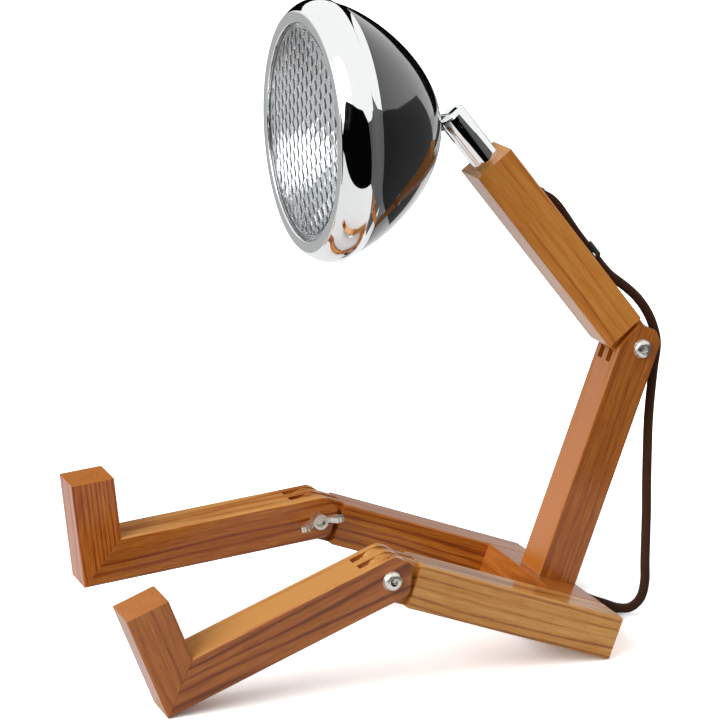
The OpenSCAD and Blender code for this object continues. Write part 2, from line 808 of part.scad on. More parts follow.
// Half profile of the bowl, as a superellipse from its rim to its rear end
bowl_side = 1.914;
bowl_nose = 1.246;
bowl_steps = 20;
function bowl(r, depth, z) = [for (i = [0:bowl_steps]) let (a = 90*i/bowl_steps)
    [r*pow(cos(a), 2/bowl_side), z - depth*pow(sin(a), 2/bowl_nose)]];
function reverse(list) = [for (i = [len(list) - 1:-1:0]) list[i]];

module lamp_shell() {
    rim_r = shell_r - bezel_wall - 0.1;
    rim_in = rim_r - shell_wall;
    color("#141416") head_frame() difference() {
        union() {
            difference() {
                rotate_extrude($fn = 96) polygon(concat(
                    bowl(shell_r, shell_depth, rim_z),
                    reverse(bowl(shell_r - shell_wall, shell_depth - shell_wall, rim_z))
                ));
                translate([0, 0, apex_z - over]) cylinder(r = 2*nose_r, h = nose_flat + over);
            }
            translate([0, 0, nose_z]) cylinder(r = nose_r - 1, h = nose_wall);
            rotate_extrude($fn = 96) polygon([
                [rim_in, rim_z + 11.4], [rim_r, rim_z + 11.4], [rim_r, rim_z],
                [rim_r + 0.3, rim_z], [rim_r + 0.3, rim_z - 1.5], [rim_in, rim_z - 1.5]
            ]);
        }
        translate([0, 0, nose_z - over])
            cylinder(r = stud_r + loose_fit, h = nose_wall + 2*over);
        bezel_screw_line() cylinder(r = 1.5 + glue_fit, h = 4*shell_wall, center = true);
    }
}

bezel_screw_z = 3.5;                // in front of the shell's rim
bezel_screw_seat = 2.9;             // head's underside, outside the shell's radius
module bezel_screw_line() {
    translate([-shell_r, 0, rim_z + bezel_screw_z]) rotate([0, -90, 0]) children();
}

// The bulge is an arc from the lip to the crease; a narrow flange runs on to the shell
bulge_at = 14.5;
crease_at = 18.8;
bulge_r = (pow(bezel_r - lip_r, 2) + pow(bulge_at - 0.8, 2))/(2*(bezel_r - lip_r));
function bulge(r) = let (
        first = asin((bulge_at - 0.8)/bulge_r),
        last = asin((crease_at - bulge_at)/bulge_r)
    ) [for (i = [0:8]) let (a = -first + (first + last)*i/8)
        [bezel_r - bulge_r + r*cos(a), front_z - bulge_at - r*sin(a)]];

module bezel_ring() {
    end_r = shell_r + 0.2;
    b = bezel_wall;
    color(chrome) head_frame() difference() {
        rotate_extrude($fn = 96) polygon(concat(
            [
                [opening_r, front_z - 2.2], [opening_r, front_z - 0.7],
                [opening_r + 0.7, front_z], [lip_r - 0.8, front_z]
            ],
            bulge(bulge_r),
            [
                [end_r, front_z - bezel_depth], [end_r - b, front_z - bezel_depth],
                [bezel_r - 1.2 - b, front_z - crease_at - 0.6]
            ],
            reverse(bulge(bulge_r - b)),
            [
                [lip_r - 1.4, front_z - 1.2], [opening_r + 1.2, front_z - 1.2],
                [opening_r + 1.2, front_z - 2.2]
            ]
        ));
        bezel_screw_line() cylinder(r = 1.5 + glue_fit, h = 6*shell_wall, center = true);
    }
}

module bezel_screw() {
    color(chrome) head_frame() bezel_screw_line() union() {
        translate([0, 0, -5]) cylinder(r = 1.5, h = 5 + bezel_screw_seat + 0.1);
        translate([0, 0, bezel_screw_seat]) cylinder(r1 = 2.75, r2 = 2, h = 1.4);
    }
}

lens_back = 1.25 + lens_t;         // behind the front of the bezel, at the glass's edge

// Cap of a sphere as a profile: height dome over radius r, at level z
function dome_line(r, dome, z) = let (R = (r*r + dome*dome)/(2*dome))
    [for (i = [0:8]) let (x = r*i/8) [x, z + sqrt(R*R - x*x) - R + dome]];

module lens() {
    inner = opening_r - 0.4;
    color("lightcyan") head_frame() rotate_extrude($fn = 96) polygon(concat(
        dome_line(inner, lens_dome, front_z - 1.25),
        [
            [inner, front_z - 2.25], [lens_r, front_z - 2.25],
            [lens_r, front_z - lens_back - 1], [inner, front_z - lens_back - 1]
        ],
        reverse(dome_line(inner - 2, lens_dome, front_z - lens_back - 1))
    ));
}

gasket_z = front_z - lens_back - 1 - gasket_t;
module lens_gasket() {
    color(black) head_frame() translate([0, 0, gasket_z]) difference() {
        cylinder(r = lens_r + 0.5, h = gasket_t);
        translate([0, 0, -over]) cylinder(r = opening_r, h = gasket_t + 2*over);
    }
}

mirror_rim = opening_r - 1;
mirror_z = gasket_z - mirror_wall;  // back of the reflector's flange
function mirror_line(r0, r1, z) = let (k = (r0*r0 - r1*r1)/mirror_depth)
    [for (i = [0:12]) let (r = r0 + (r1 - r0)*i/12) [r, z - (r0*r0 - r*r)/k]];

module reflector() {
    w = mirror_wall;
    color("gainsboro") head_frame() rotate_extrude($fn = 96) polygon(concat(
        [[lens_r, gasket_z], [mirror_rim, gasket_z]],
        mirror_line(mirror_rim - 0.2, mirror_neck_r, gasket_z - 0.3),
        [
            [mirror_neck_r, mirror_z - mirror_depth - 8],
            [mirror_neck_r + w, mirror_z - mirror_depth - 8]
        ],
        reverse(mirror_line(mirror_rim + w, mirror_neck_r + w, mirror_z)),
        [[lens_r, mirror_z]]
    ));
}

// Four flat springs between the reflector's flange and the inside of the bezel
spring_w = 9;
spring_len = 7;
spring_t = 0.8;
module reflector_clips() {
    wall_r = bezel_r - bulge_r + sqrt(pow(bulge_r - bezel_wall, 2)
        - pow(bulge_at - (front_z - mirror_z), 2));
    color(chrome) head_frame() for (a = [45:90:315]) rotate(a) {
        translate([opening_r + 2.4, -spring_w/2, mirror_z - spring_t])
            cube([wall_r - opening_r - 2.7, spring_w, spring_t]);
        translate([wall_r - spring_t - 0.3, -spring_w/2, mirror_z - spring_len])
            cube([spring_t, spring_w, spring_len]);
    }
}

holder_z = mirror_z - mirror_depth;
holder_len = 12;
holder_back = holder_z - holder_len;
module lamp_holder() {
    color("whitesmoke") head_frame() difference() {
        union() {
            translate([0, 0, holder_back]) cylinder(r = mirror_neck_r - 0.1, h = holder_len);
            translate([0, 0, holder_z - 8.1 - 2]) cylinder(r = mirror_neck_r + 3, h = 2);
        }
        translate([0, 0, holder_z - 7]) cylinder(r = 6.6, h = 8);
        translate([0, 0, holder_back - over]) cylinder(r = 2.2, h = 4);
    }
}

module bulb() {
    r = bulb_d/2;
    color("white") head_frame() translate([0, 0, holder_z]) union() {
        translate([0, 0, -6]) cylinder(r = 6, h = 6.01);
        cylinder(r = r, h = bulb_len - r);
        translate([0, 0, bulb_len - r]) sphere(r);
    }
}

module head_lead() {
    low = nose_z + 1;
    color(cord_brown) head_frame() translate([0, 0, low])
        cylinder(r = 2, h = holder_back + 2.5 - low);
}

// ---- cord -----------------------------------------------------------------------------

tube_sides = 10;
main_route = concat([for (p = arm_route) from_arm([p[0], 0, p[1]])], fall_route);
arm_rings = len(arm_route);
tail_dir = [cos(tail_angle), sin(tail_angle)];
coil_out = coil_r + (coil_columns - 1)*cord_r;
tail_from = coil_at + coil_out*[sin(tail_angle), -cos(tail_angle)];
plug_z = plug_h/2;
tail_z = coil_lift + 1.5*cord_d;
tail_steps = 4;
tail_route = [for (i = [0:tail_steps]) let (
        u = i/tail_steps,
        p = tail_from + tail_dir*(tail_start + tail_len*u)
    ) [p[0], p[1], tail_z + (plug_z - tail_z)*(1 - cos(180*u))/2]];

function unit(v) = v/norm(v);
function heading(path, i) = unit(path[min(i + 1, len(path) - 1)] - path[max(i - 1, 0)]);
// Ring of points around path[i]
function ring(path, i, r) = let (
        d = heading(path, i),
        side = unit(cross(d, abs(d[1]) > 0.8 ? [1, 0, 0] : [0, 1, 0])),
        top = cross(side, d)
    ) [for (k = [0:tube_sides - 1]) let (a = 360*k/tube_sides)
        path[i] + r*cos(a)*side + r*sin(a)*top];

// Tube along path[first] to path[last]
module cord_tube(path, first, last) {
    n = tube_sides;
    rings = last - first;
    points = [for (i = [first:last]) each ring(path, i, cord_r)];
    walls = [for (j = [0:rings - 1], k = [0:n - 1])
        [j*n + k, j*n + (k + 1)%n, (j + 1)*n + (k + 1)%n, (j + 1)*n + k]];
    ends = [[for (k = [n - 1:-1:0]) k], [for (k = [0:n - 1]) rings*n + k]];
    color(cord_brown) polyhedron(points, concat(walls, ends), convexity = 10);
}

module arm_cord() { cord_tube(main_route, 0, arm_rings - 1); }
module fall_cord() { cord_tube(main_route, arm_rings - 1, len(main_route) - 1); }
module link_cord() { cord_tube(link_route, 0, len(link_route) - 1); }
module tail_cord() { cord_tube(tail_route, 0, len(tail_route) - 1); }

coil_h = coil_layers*cord_d;
coil_half = coil_columns*cord_r;
module cord_coil() {
    color(cord_brown) translate([coil_at[0], coil_at[1], coil_lift])
        rotate_extrude($fn = 96) translate([coil_r - coil_half, 0])
            square([2*coil_half, coil_h]);
}

module coil_tie() {
    gap = 0.05;
    t = coil_lift - gap;
    color(black) translate([coil_at[0], coil_at[1], 0]) rotate(200)
        translate([coil_r, 0, coil_lift + coil_h/2]) difference() {
            cube([2*coil_half + 2*coil_lift, 9, coil_h + 2*coil_lift], center = true);
            cube([2*coil_half + 2*gap, 12, coil_h + 2*gap], center = true);
        }
}

// In-line switch, its length along Y
switch_mid = switch_h/2;
rocker_z = switch_h - 3.5;
module at_switch() {
    translate([switch_at[0], switch_at[1], 0]) children();
}

// Slab with round corners, standing on the floor
module round_slab(length, width, height, r) {
    linear_extrude(height) union() {
        square([width - 2*r, length], center = true);
        square([width, length - 2*r], center = true);
        for (x = [-1, 1], y = [-1, 1])
            translate([x*(width/2 - r), y*(length/2 - r)]) circle(r);
    }
}

// Cord entries at both ends, half in each shell
module switch_entries() {
    translate([0, 0, switch_mid]) rotate([90, 0, 0])
        cylinder(r = cord_r + loose_fit, h = 2*switch_len, center = true);
}

module switch_screw_places() {
    for (s = [-1, 1]) translate([0, s*(switch_len/2 - switch_screw_in), 0]) children();
}

module switch_base() {
    w = switch_wall;
    color("#2a2624") at_switch() difference() {
        round_slab(switch_len, switch_w, switch_mid - 0.01, 4);
        difference() {
            translate([0, 0, w]) round_slab(switch_len - 8, switch_w - 2*w,
                switch_mid, 3);
            switch_screw_places() cylinder(r = 2.6, h = switch_mid);
        }
        switch_entries();
        switch_screw_places() translate([0, 0, -over]) {
            cylinder(r = small_screw_r + glue_fit, h = switch_h);
            cylinder(r = 2.2, h = 1.6 + over);
        }
    }
}

module switch_cover() {
    w = switch_wall;
    color("#2a2624") at_switch() difference() {
        translate([0, 0, switch_mid + 0.01]) union() {
            round_slab(switch_len, switch_w, switch_mid - 1.01, 4);
            translate([0, 0, switch_mid - 1.02])
                round_slab(switch_len - 2, switch_w - 2, 1, 3.4);
        }
        difference() {
            translate([0, 0, switch_mid - 1]) round_slab(switch_len - 8,
                switch_w - 2*w, switch_mid + 1 - w, 3);
            switch_screw_places() cylinder(r = 2.6, h = switch_h);
            translate([0, 0, rocker_z]) cube([rocker_w + 4.8, 5, 8], center = true);
        }
        switch_entries();
        translate([0, 0, switch_h])
            cube([rocker_w + 0.6, rocker_len + 2.6, 2*switch_mid - 1], center = true);
        translate([0, 0, rocker_z]) rotate([0, 90, 0])
            cylinder(r = 1 + run_fit, h = rocker_w + 3.4, center = true);
        switch_screw_places() translate([0, 0, switch_mid - over])
            cylinder(r = small_screw_r + glue_fit, h = 5.5);
    }
}

module switch_screws() {
    color(chrome) at_switch() switch_screw_places() translate([0, 0, 0.2]) union() {
        cylinder(r = 2, h = 1.4);
        cylinder(r = small_screw_r, h = switch_mid + 3.5);
    }
}

// At rest it is pressed down at its +Y end
module switch_rocker() {
    l = rocker_len/2;
    color("#1c1a18") at_switch() translate([0, 0, rocker_z]) rotate([-rocker_throw/2, 0, 0])
        union() {
            rotate([90, 0, 90]) linear_extrude(rocker_w, center = true) polygon([
                [-l, -1], [-l*0.6, -3], [l*0.6, -3], [l, -1],
                [l, 5], [l*0.85, 5.3], [0, 4.2], [-l*0.85, 5.3], [-l, 5]
            ]);
            rotate([0, 90, 0]) cylinder(r = 1, h = rocker_w + 3, center = true);
        }
}

// Origin where the plug's tail begins, +X along the cord
module plug_frame() {
    p = tail_route[tail_steps];
    translate([p[0], p[1], plug_z]) rotate([0, 0, tail_angle]) children();
}

module plug_body() {
    l = plug_len;
    w = plug_w/2;
    neck = 6;
    color("#2a2624") plug_frame() union() {
        rotate([0, 90, 0]) cylinder(r1 = cord_r + 0.7, r2 = neck - 0.2, h = plug_tail + 0.01);
        translate([plug_tail, 0, -plug_z]) linear_extrude(plug_h) polygon([
            [0, -neck], [l*0.15, -w*0.42], [l*0.55, -w*0.86], [l*0.7, -w], [l, -w],
            [l, w], [l*0.7, w], [l*0.55, w*0.86], [l*0.15, w*0.42], [0, neck]
        ]);
    }
}

module plug_pins() {
    color(chrome) plug_frame() both(pin_pitch/2)
        translate([plug_tail + plug_len, 0, 0]) rotate([0, 90, 0]) {
            cylinder(d = plug_pin_d, h = plug_pin_len - 1.5);
            translate([0, 0, plug_pin_len - 1.51])
                cylinder(d1 = plug_pin_d, d2 = plug_pin_d*0.6, h = 1.51);
        }
}

left_thigh();
right_thigh();
hip_block();
hip_dowels();
torso();
torso_screws();
elbow_bolt();
elbow_washers();
elbow_wing_nut();
left_shank();
left_foot();
left_heel_dowels();
left_knee_bolt();
left_knee_washers();
left_wing_nut();
right_shank();
right_foot();
right_heel_dowels();
right_knee_bolt();
right_knee_washers();
right_wing_nut();
upper_arm();
neck_bush();
neck_grub_screw();
cord_sleeve();
cable_clip();
clip_screws();
inner_lead();
arm_cord();
neck_tube();
tilt_pin();
neck_lead();
head_knuckle();
knuckle_washer();
knuckle_nut();
lamp_shell();
bezel_ring();
bezel_screw();
lens();
lens_gasket();
reflector();
reflector_clips();
lamp_holder();
bulb();
head_lead();
fall_cord();
link_cord();
tail_cord();
cord_coil();
coil_tie();
switch_base();
switch_cover();
switch_screws();
switch_rocker();
plug_body();
plug_pins();
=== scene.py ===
import json
import math

import bmesh
import bpy
from mathutils import Matrix, Vector


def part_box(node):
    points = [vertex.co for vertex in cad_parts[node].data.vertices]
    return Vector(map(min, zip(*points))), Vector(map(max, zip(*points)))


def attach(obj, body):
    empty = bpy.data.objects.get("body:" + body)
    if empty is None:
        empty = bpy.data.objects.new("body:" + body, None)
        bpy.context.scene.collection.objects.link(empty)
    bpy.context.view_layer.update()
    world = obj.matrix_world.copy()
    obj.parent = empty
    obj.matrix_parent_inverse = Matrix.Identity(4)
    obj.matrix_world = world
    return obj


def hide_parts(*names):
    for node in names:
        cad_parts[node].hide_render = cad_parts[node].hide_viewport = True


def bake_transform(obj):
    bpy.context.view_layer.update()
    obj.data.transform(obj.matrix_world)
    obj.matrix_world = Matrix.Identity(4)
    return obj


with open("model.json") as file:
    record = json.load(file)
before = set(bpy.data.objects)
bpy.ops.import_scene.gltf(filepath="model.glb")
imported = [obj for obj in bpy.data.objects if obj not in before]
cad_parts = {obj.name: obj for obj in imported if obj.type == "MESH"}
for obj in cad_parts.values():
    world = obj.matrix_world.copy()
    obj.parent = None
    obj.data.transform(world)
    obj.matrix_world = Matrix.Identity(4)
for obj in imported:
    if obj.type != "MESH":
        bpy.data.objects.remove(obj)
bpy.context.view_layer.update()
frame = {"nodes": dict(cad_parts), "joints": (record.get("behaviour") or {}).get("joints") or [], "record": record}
nodes = frame["nodes"]
joints = {joint["name"]: joint for joint in frame["joints"]}
mm = 0.001

# ---- Camera ---------------------------------------------------------------------------
# A long lens in front of the lamp's left side, a little above the head, so that the head,
# the arm and both legs are seen with little perspective.
camera_place = Vector((-621.03, -1687.69, 628.04)) * mm
camera_heading = 19.8715    # degrees, from +Y towards +X
camera_dip = -13.8278
camera_roll = -0.4813
camera_data = bpy.data.cameras.new("camera")
camera_data.lens = 148.27
camera_data.sensor_width = 36
camera_data.clip_start = 0.1
camera_data.clip_end = 30
camera = bpy.data.objects.new("camera", camera_data)
bpy.context.scene.collection.objects.link(camera)
camera.matrix_world = (
    Matrix.Translation(camera_place)
    @ Matrix.Rotation(math.radians(-camera_heading), 4, "Z")
    @ Matrix.Rotation(math.radians(90 + camera_dip), 4, "X")
    @ Matrix.Rotation(math.radians(camera_roll), 4, "Z")
)
bpy.context.scene.camera = camera

# ---- Mains lead -----------------------------------------------------------------------
# A two-core flex in a braided brown cotton sleeve, 6.2 mm thick. It leaves the back of the
# arm through a sleeve, runs under a clip, hangs behind the elbow and turns on the table
# into the in-line switch.
lead_d = 6.2 * mm
elbow_pivot = Vector(joints["elbow"]["pos_m"])
arm_along = Vector(joints["neck_swivel"]["axis"])
arm_back = Vector((arm_along.z, 0, -arm_along.x))
# On the arm: distance behind the elbow's axis and along the wood, in millimetres
lead_on_arm = [
    (13, 120), (15.5, 114), (16.4, 107.5), (16.2, 100), (15.7, 92), (15.3, 84),
    (15.3, 73), (15.3, 63), (15.4, 54), (16, 47), (17.9, 39), (19.8, 31), (21.2, 20),
]
# Down behind the elbow and over the table, in millimetres
lead_fall = [
    (189, 0, 193.8), (192.4, -0.5, 181), (190.4, -1, 163), (188.2, -2, 146),
    (186, -4, 129), (183.7, -8, 110), (181.6, -12, 91), (179.4, -17, 72),
    (177.2, -21, 54), (175.6, -24, 39), (175.2, -25, 28), (174, -21.9, 15.6),
    (170.5, -13.4, 6.4), (165.9, -1.9, 3.1), (162, 8, 3.1), (158.4, 16.6, 3.1),
    (155.2, 24.1, 3.6), (149.4, 33.2, 6.2), (148, 45, 8),
]
route_step = 2 * mm


def smooth_route(points):
    """A smooth curve through the points, sampled about every route_step."""
    gaps = [(b - a).length for a, b in zip(points, points[1:])]
    slopes = [(points[1] - points[0]) / gaps[0]]
    for i in range(1, len(points) - 1):
        before, after = gaps[i - 1], gaps[i]
        slopes.append((
            (points[i] - points[i - 1]) / before * after
            + (points[i + 1] - points[i]) / after * before
        ) / (before + after))
    slopes.append((points[-1] - points[-2]) / gaps[-1])
    route = []
    for a, b, gap, leave, arrive in zip(points, points[1:], gaps, slopes, slopes[1:]):
        count = max(1, round(gap / route_step))
        for k in range(count):
            t = k / count
            route.append(
                a * (2 * t**3 - 3 * t**2 + 1) + b * (3 * t**2 - 2 * t**3)
                + leave * gap * (t**3 - 2 * t**2 + t) + arrive * gap * (t**3 - t**2)
            )
    return route + [points[-1]]


def new_piece(name, data):
    """An object at the origin that shows the mesh or the light."""
    piece = bpy.data.objects.new(name, data)
    bpy.context.scene.collection.objects.link(piece)
    return piece


def lead_tube(name, route, sides=20):
    """A closed round tube along the route. Its UV map runs once round it and, counted in
    diameters, along it."""
    shape = bmesh.new()
    uv = shape.loops.layers.uv.new("along")
    heading = (route[1] - route[0]).normalized()
    side = heading.cross(Vector((0, 1, 0)) if abs(heading.y) < 0.8 else Vector((1, 0, 0)))
    rings, run = [], [0.0]
    for i, place in enumerate(route):
        ahead = (route[min(i + 1, len(route) - 1)] - route[max(i - 1, 0)]).normalized()
        side = (side - ahead * side.dot(ahead)).normalized()
        top = ahead.cross(side)
        turns = [2 * math.pi * k / sides for k in range(sides)]
        rings.append([
            shape.verts.new(place + (side * math.cos(t) + top * math.sin(t)) * lead_d / 2)
            for t in turns
        ])
        if i:
            run.append(run[-1] + (place - route[i - 1]).length / lead_d)
    for i, (ring, ahead_ring) in enumerate(zip(rings, rings[1:])):
        for k in range(sides):
            n = (k + 1) % sides
            face = shape.faces.new((ring[k], ring[n], ahead_ring[n], ahead_ring[k]))
            for loop, u, v in zip(face.loops, (k, k + 1, k + 1, k), (i, i, i + 1, i + 1)):
                loop[uv].uv = (u / sides, run[v])
    shape.faces.new(reversed(rings[0]))
    shape.faces.new(rings[-1])
    mesh = bpy.data.meshes.new(name)
    shape.to_mesh(mesh)
    shape.free()
    mesh.shade_smooth()
    return new_piece(name, mesh)


def linear(code):
    """An sRGB hex colour as a linear one, opaque."""
    parts = [int(code[i:i + 2], 16) / 255 for i in (1, 3, 5)]
    return (*[c / 12.92 if c <= 0.04045 else ((c + 0.055) / 1.055) ** 2.4 for c in parts], 1)


def add(tree, kind, settings=(), stops=(), **inputs):
    """Adds a node. An input is named, or is _0, _1 and so on, and takes a value or a link.
    The stops of a colour ramp are pairs of a place and a hex colour."""
    node = tree.nodes.new(kind)
    for name, value in dict(settings).items():
        setattr(node, name, value)
    for name, value in inputs.items():
        key = int(name[1:]) if name[0] == "_" else name.replace("_", " ")
        if isinstance(value, bpy.types.NodeSocket):
            tree.links.new(value, node.inputs[key])
        else:
            node.inputs[key].default_value = value
    if stops:
        elements = node.color_ramp.elements
        for _ in stops[2:]:
            elements.new(0.5)
        for element, (place, code) in zip(elements, stops):
            element.position = place
            element.color = linear(code)
    return node


def new_finish(name):
    """An empty node material; returns the material and its tree."""
    material = bpy.data.materials.new(name)
    material.use_nodes = True
    material.node_tree.nodes.clear()
    return material, material.node_tree


# Braided cotton: matt, with strands crossing at 45 degrees, painted lighter on their crowns.
# 16 carriers of 0.9 mm thread make the braid, half of them each way.
strands_round, strands_along = 8, 3.2     # of one lean, in one round and in one diameter
# Painted highlight on the strands' crowns and painted shade in the gaps between them
strand_highlight, gap_shade = 2.2, 0.12
braid, tree = new_finish("braided_cotton")
place = add(tree, "ShaderNodeUVMap", {"uv_map": "along"}).outputs["UV"]
strands = []
for lean in (1, -1):
    leaning = add(tree, "ShaderNodeMapping", Vector=place,
                  Scale=(strands_round, lean * strands_along, 1))
    parts = add(tree, "ShaderNodeSeparateXYZ", Vector=leaning.outputs["Vector"])
    total = add(tree, "ShaderNodeMath", {"operation": "ADD"},
                _0=parts.outputs["X"], _1=parts.outputs["Y"])
    strands.append(add(tree, "ShaderNodeMath", {"operation": "PINGPONG"},
                       _0=total.outputs[0], _1=0.5).outputs[0])
crossing = add(tree, "ShaderNodeMath", {"operation": "MULTIPLY"}, _0=strands[0],
               _1=strands[1])
fleck = add(tree, "ShaderNodeTexNoise", Vector=place, Scale=9.0, Detail=3.0)
# The colour carries painted highlight on the strands and painted shade in their gaps
mixed = add(tree, "ShaderNodeMath", {"operation": "MULTIPLY_ADD"},
            _0=crossing.outputs[0], _1=strand_highlight, _2=gap_shade)
shade = add(tree, "ShaderNodeMix", {"data_type": "FLOAT"}, Factor=0.35,
            A=mixed.outputs[0], B=fleck.outputs["Fac"])
colour = add(tree, "ShaderNodeValToRGB", Fac=shade.outputs["Result"],
             stops=((0.1, "#200f05"), (0.45, "#46250e"), (0.8, "#6b411e")))
relief = add(tree, "ShaderNodeBump", Height=crossing.outputs[0], Strength=0.6,
             Distance=0.4 * mm)
skin = add(tree, "ShaderNodeBsdfPrincipled", Base_Color=colour.outputs["Color"],
           Roughness=0.85, IOR=1.3, Sheen_Weight=0.1, Sheen_Roughness=0.5,
           Normal=relief.outputs["Normal"])
add(tree, "ShaderNodeOutputMaterial", Surface=skin.outputs["BSDF"])


def on_arm(behind, along):
    """A place in the arm's side plane, from millimetres off the elbow's axis."""
    return elbow_pivot + (arm_back * behind + arm_along * along) * mm


hung_route = smooth_route([on_arm(*place) for place in lead_on_arm]
                          + [Vector(place) * mm for place in lead_fall])
hung_lead = lead_tube("hung_lead", hung_route)
hung_lead.data.materials.append(braid)
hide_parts("arm_cord", "fall_cord")
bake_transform(hung_lead)

# ---- Spare lead and coil --------------------------------------------------------------
# The rest of the same lead, from the switch to the plug. What isn't needed is wound in a
# round coil, three turns wide and three high, held by a band, on the table behind the lamp.
lead_to_coil = [
    (148, 101, 8), (148, 107.5, 7.1), (146.8, 115.5, 5), (141.7, 126.8, 3.3),
    (133.7, 137.8, 3.1), (123.6, 147.9, 3.1), (111.8, 156.6, 3.6),
]
coil_low, coil_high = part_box("cord_coil")
coil_centre = (coil_low + coil_high) / 2
coil_outer = (coil_high.x - coil_low.x) / 2 - lead_d / 2
coil_middle = coil_outer - lead_d
coil_inner = coil_middle - lead_d
coil_start = 61.6       # degrees, where the lead meets the coil
coil_turn = 2123.4      # to where it leaves for the plug
coil_step = 5
# Each turn ends with a long slant to the next place in the stack: its start and length
# in degrees, then the ring and the layer that it leads to
coil_slants = [
    (255, 100, coil_middle, 0), (507, 100, coil_inner, 0), (759, 80, coil_inner, 1),
    (1011, 80, coil_inner, 2), (1263, 100, coil_middle, 2), (1515, 80, coil_middle, 1),
    (1767, 100, coil_outer, 1),
]


def coil_place(turn):
    """The place of the lead's middle after that many degrees of the coil."""
    radius, layer = coil_outer, 0
    for start, length, next_radius, next_layer in coil_slants:
        share = min(max((turn - start) / length, 0), 1)
        share = (1 - math.cos(math.pi * share)) / 2
        radius += (next_radius - radius) * share
        layer += (next_layer - layer) * share
    angle = math.radians(coil_start + turn)
    return Vector((
        coil_centre.x + radius * math.cos(angle),
        coil_centre.y + radius * math.sin(angle),
        coil_low.z + lead_d * (layer + 0.5),
    ))


tail_heading = math.radians(coil_start + coil_turn + 90)
tail_out = Vector((math.cos(tail_heading), math.sin(tail_heading), 0))
plug_height = 6.85 * mm
# From the coil's end to the plug: millimetres run, and the share of the way down to it
tail_run = [(5, 0), (10, 0), (15, 0), (20, 0.1464), (25, 0.5), (30, 0.8536), (35, 1)]
coil_end = coil_place(coil_turn)
tail = [
    coil_end + tail_out * run * mm + Vector((0, 0, (plug_height - coil_end.z) * drop))
    for run, drop in tail_run
]
turns = [coil_place(turn) for turn in range(0, int(coil_turn) - coil_step, coil_step)]
link = smooth_route([Vector(place) * mm for place in lead_to_coil] + turns[:2])[:-1]
spare_route = link + turns[1:] + smooth_route([coil_end] + tail)
spare_lead = lead_tube("spare_lead", spare_route, sides=16)
spare_lead.data.materials.append(braid)
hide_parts("link_cord", "cord_coil", "tail_cord")
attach(spare_lead, "seat")

# ---- Wooden members -------------------------------------------------------------------
# Solid teak, planed and sanded, with its long edges eased, then oiled and polished. The
# pieces are sawn along the grain and glued; the fingers of the knees and the elbow are cut
# in the ends.
node_bodies = {
    node: body
    for body, members in frame["record"]["behaviour"]["bodies"].items()
    for node in members
}
weld_gap = 0.002 * mm
flat_turn, sharp_turn = math.radians(0.5), math.radians(32)


def merged_copy(node, name, finish, edge=0.0):
    """The node's shape as a clean mesh of its own, with its edges rounded by so many
    millimetres, in the finish, on the node's body."""
    mesh = nodes[node].data.copy()
    mesh.materials.clear()
    shape = bmesh.new()
    shape.from_mesh(mesh)
    bmesh.ops.remove_doubles(shape, verts=shape.verts, dist=weld_gap)
    bmesh.ops.dissolve_limit(shape, angle_limit=flat_turn, verts=shape.verts,
                             edges=shape.edges)
    shape.to_mesh(mesh)
    shape.free()
    mesh.shade_smooth()
    mesh.set_sharp_from_angle(angle=sharp_turn)
    mesh.materials.append(finish)
    piece = new_piece(name, mesh)
    if edge:
        round_off = piece.modifiers.new("edges", "BEVEL")
        round_off.width = edge * mm
        round_off.segments = 2
        round_off.limit_method = "ANGLE"
        round_off.angle_limit = sharp_turn
        round_off.harden_normals = True
    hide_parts(node)
    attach(piece, node_bodies[node])


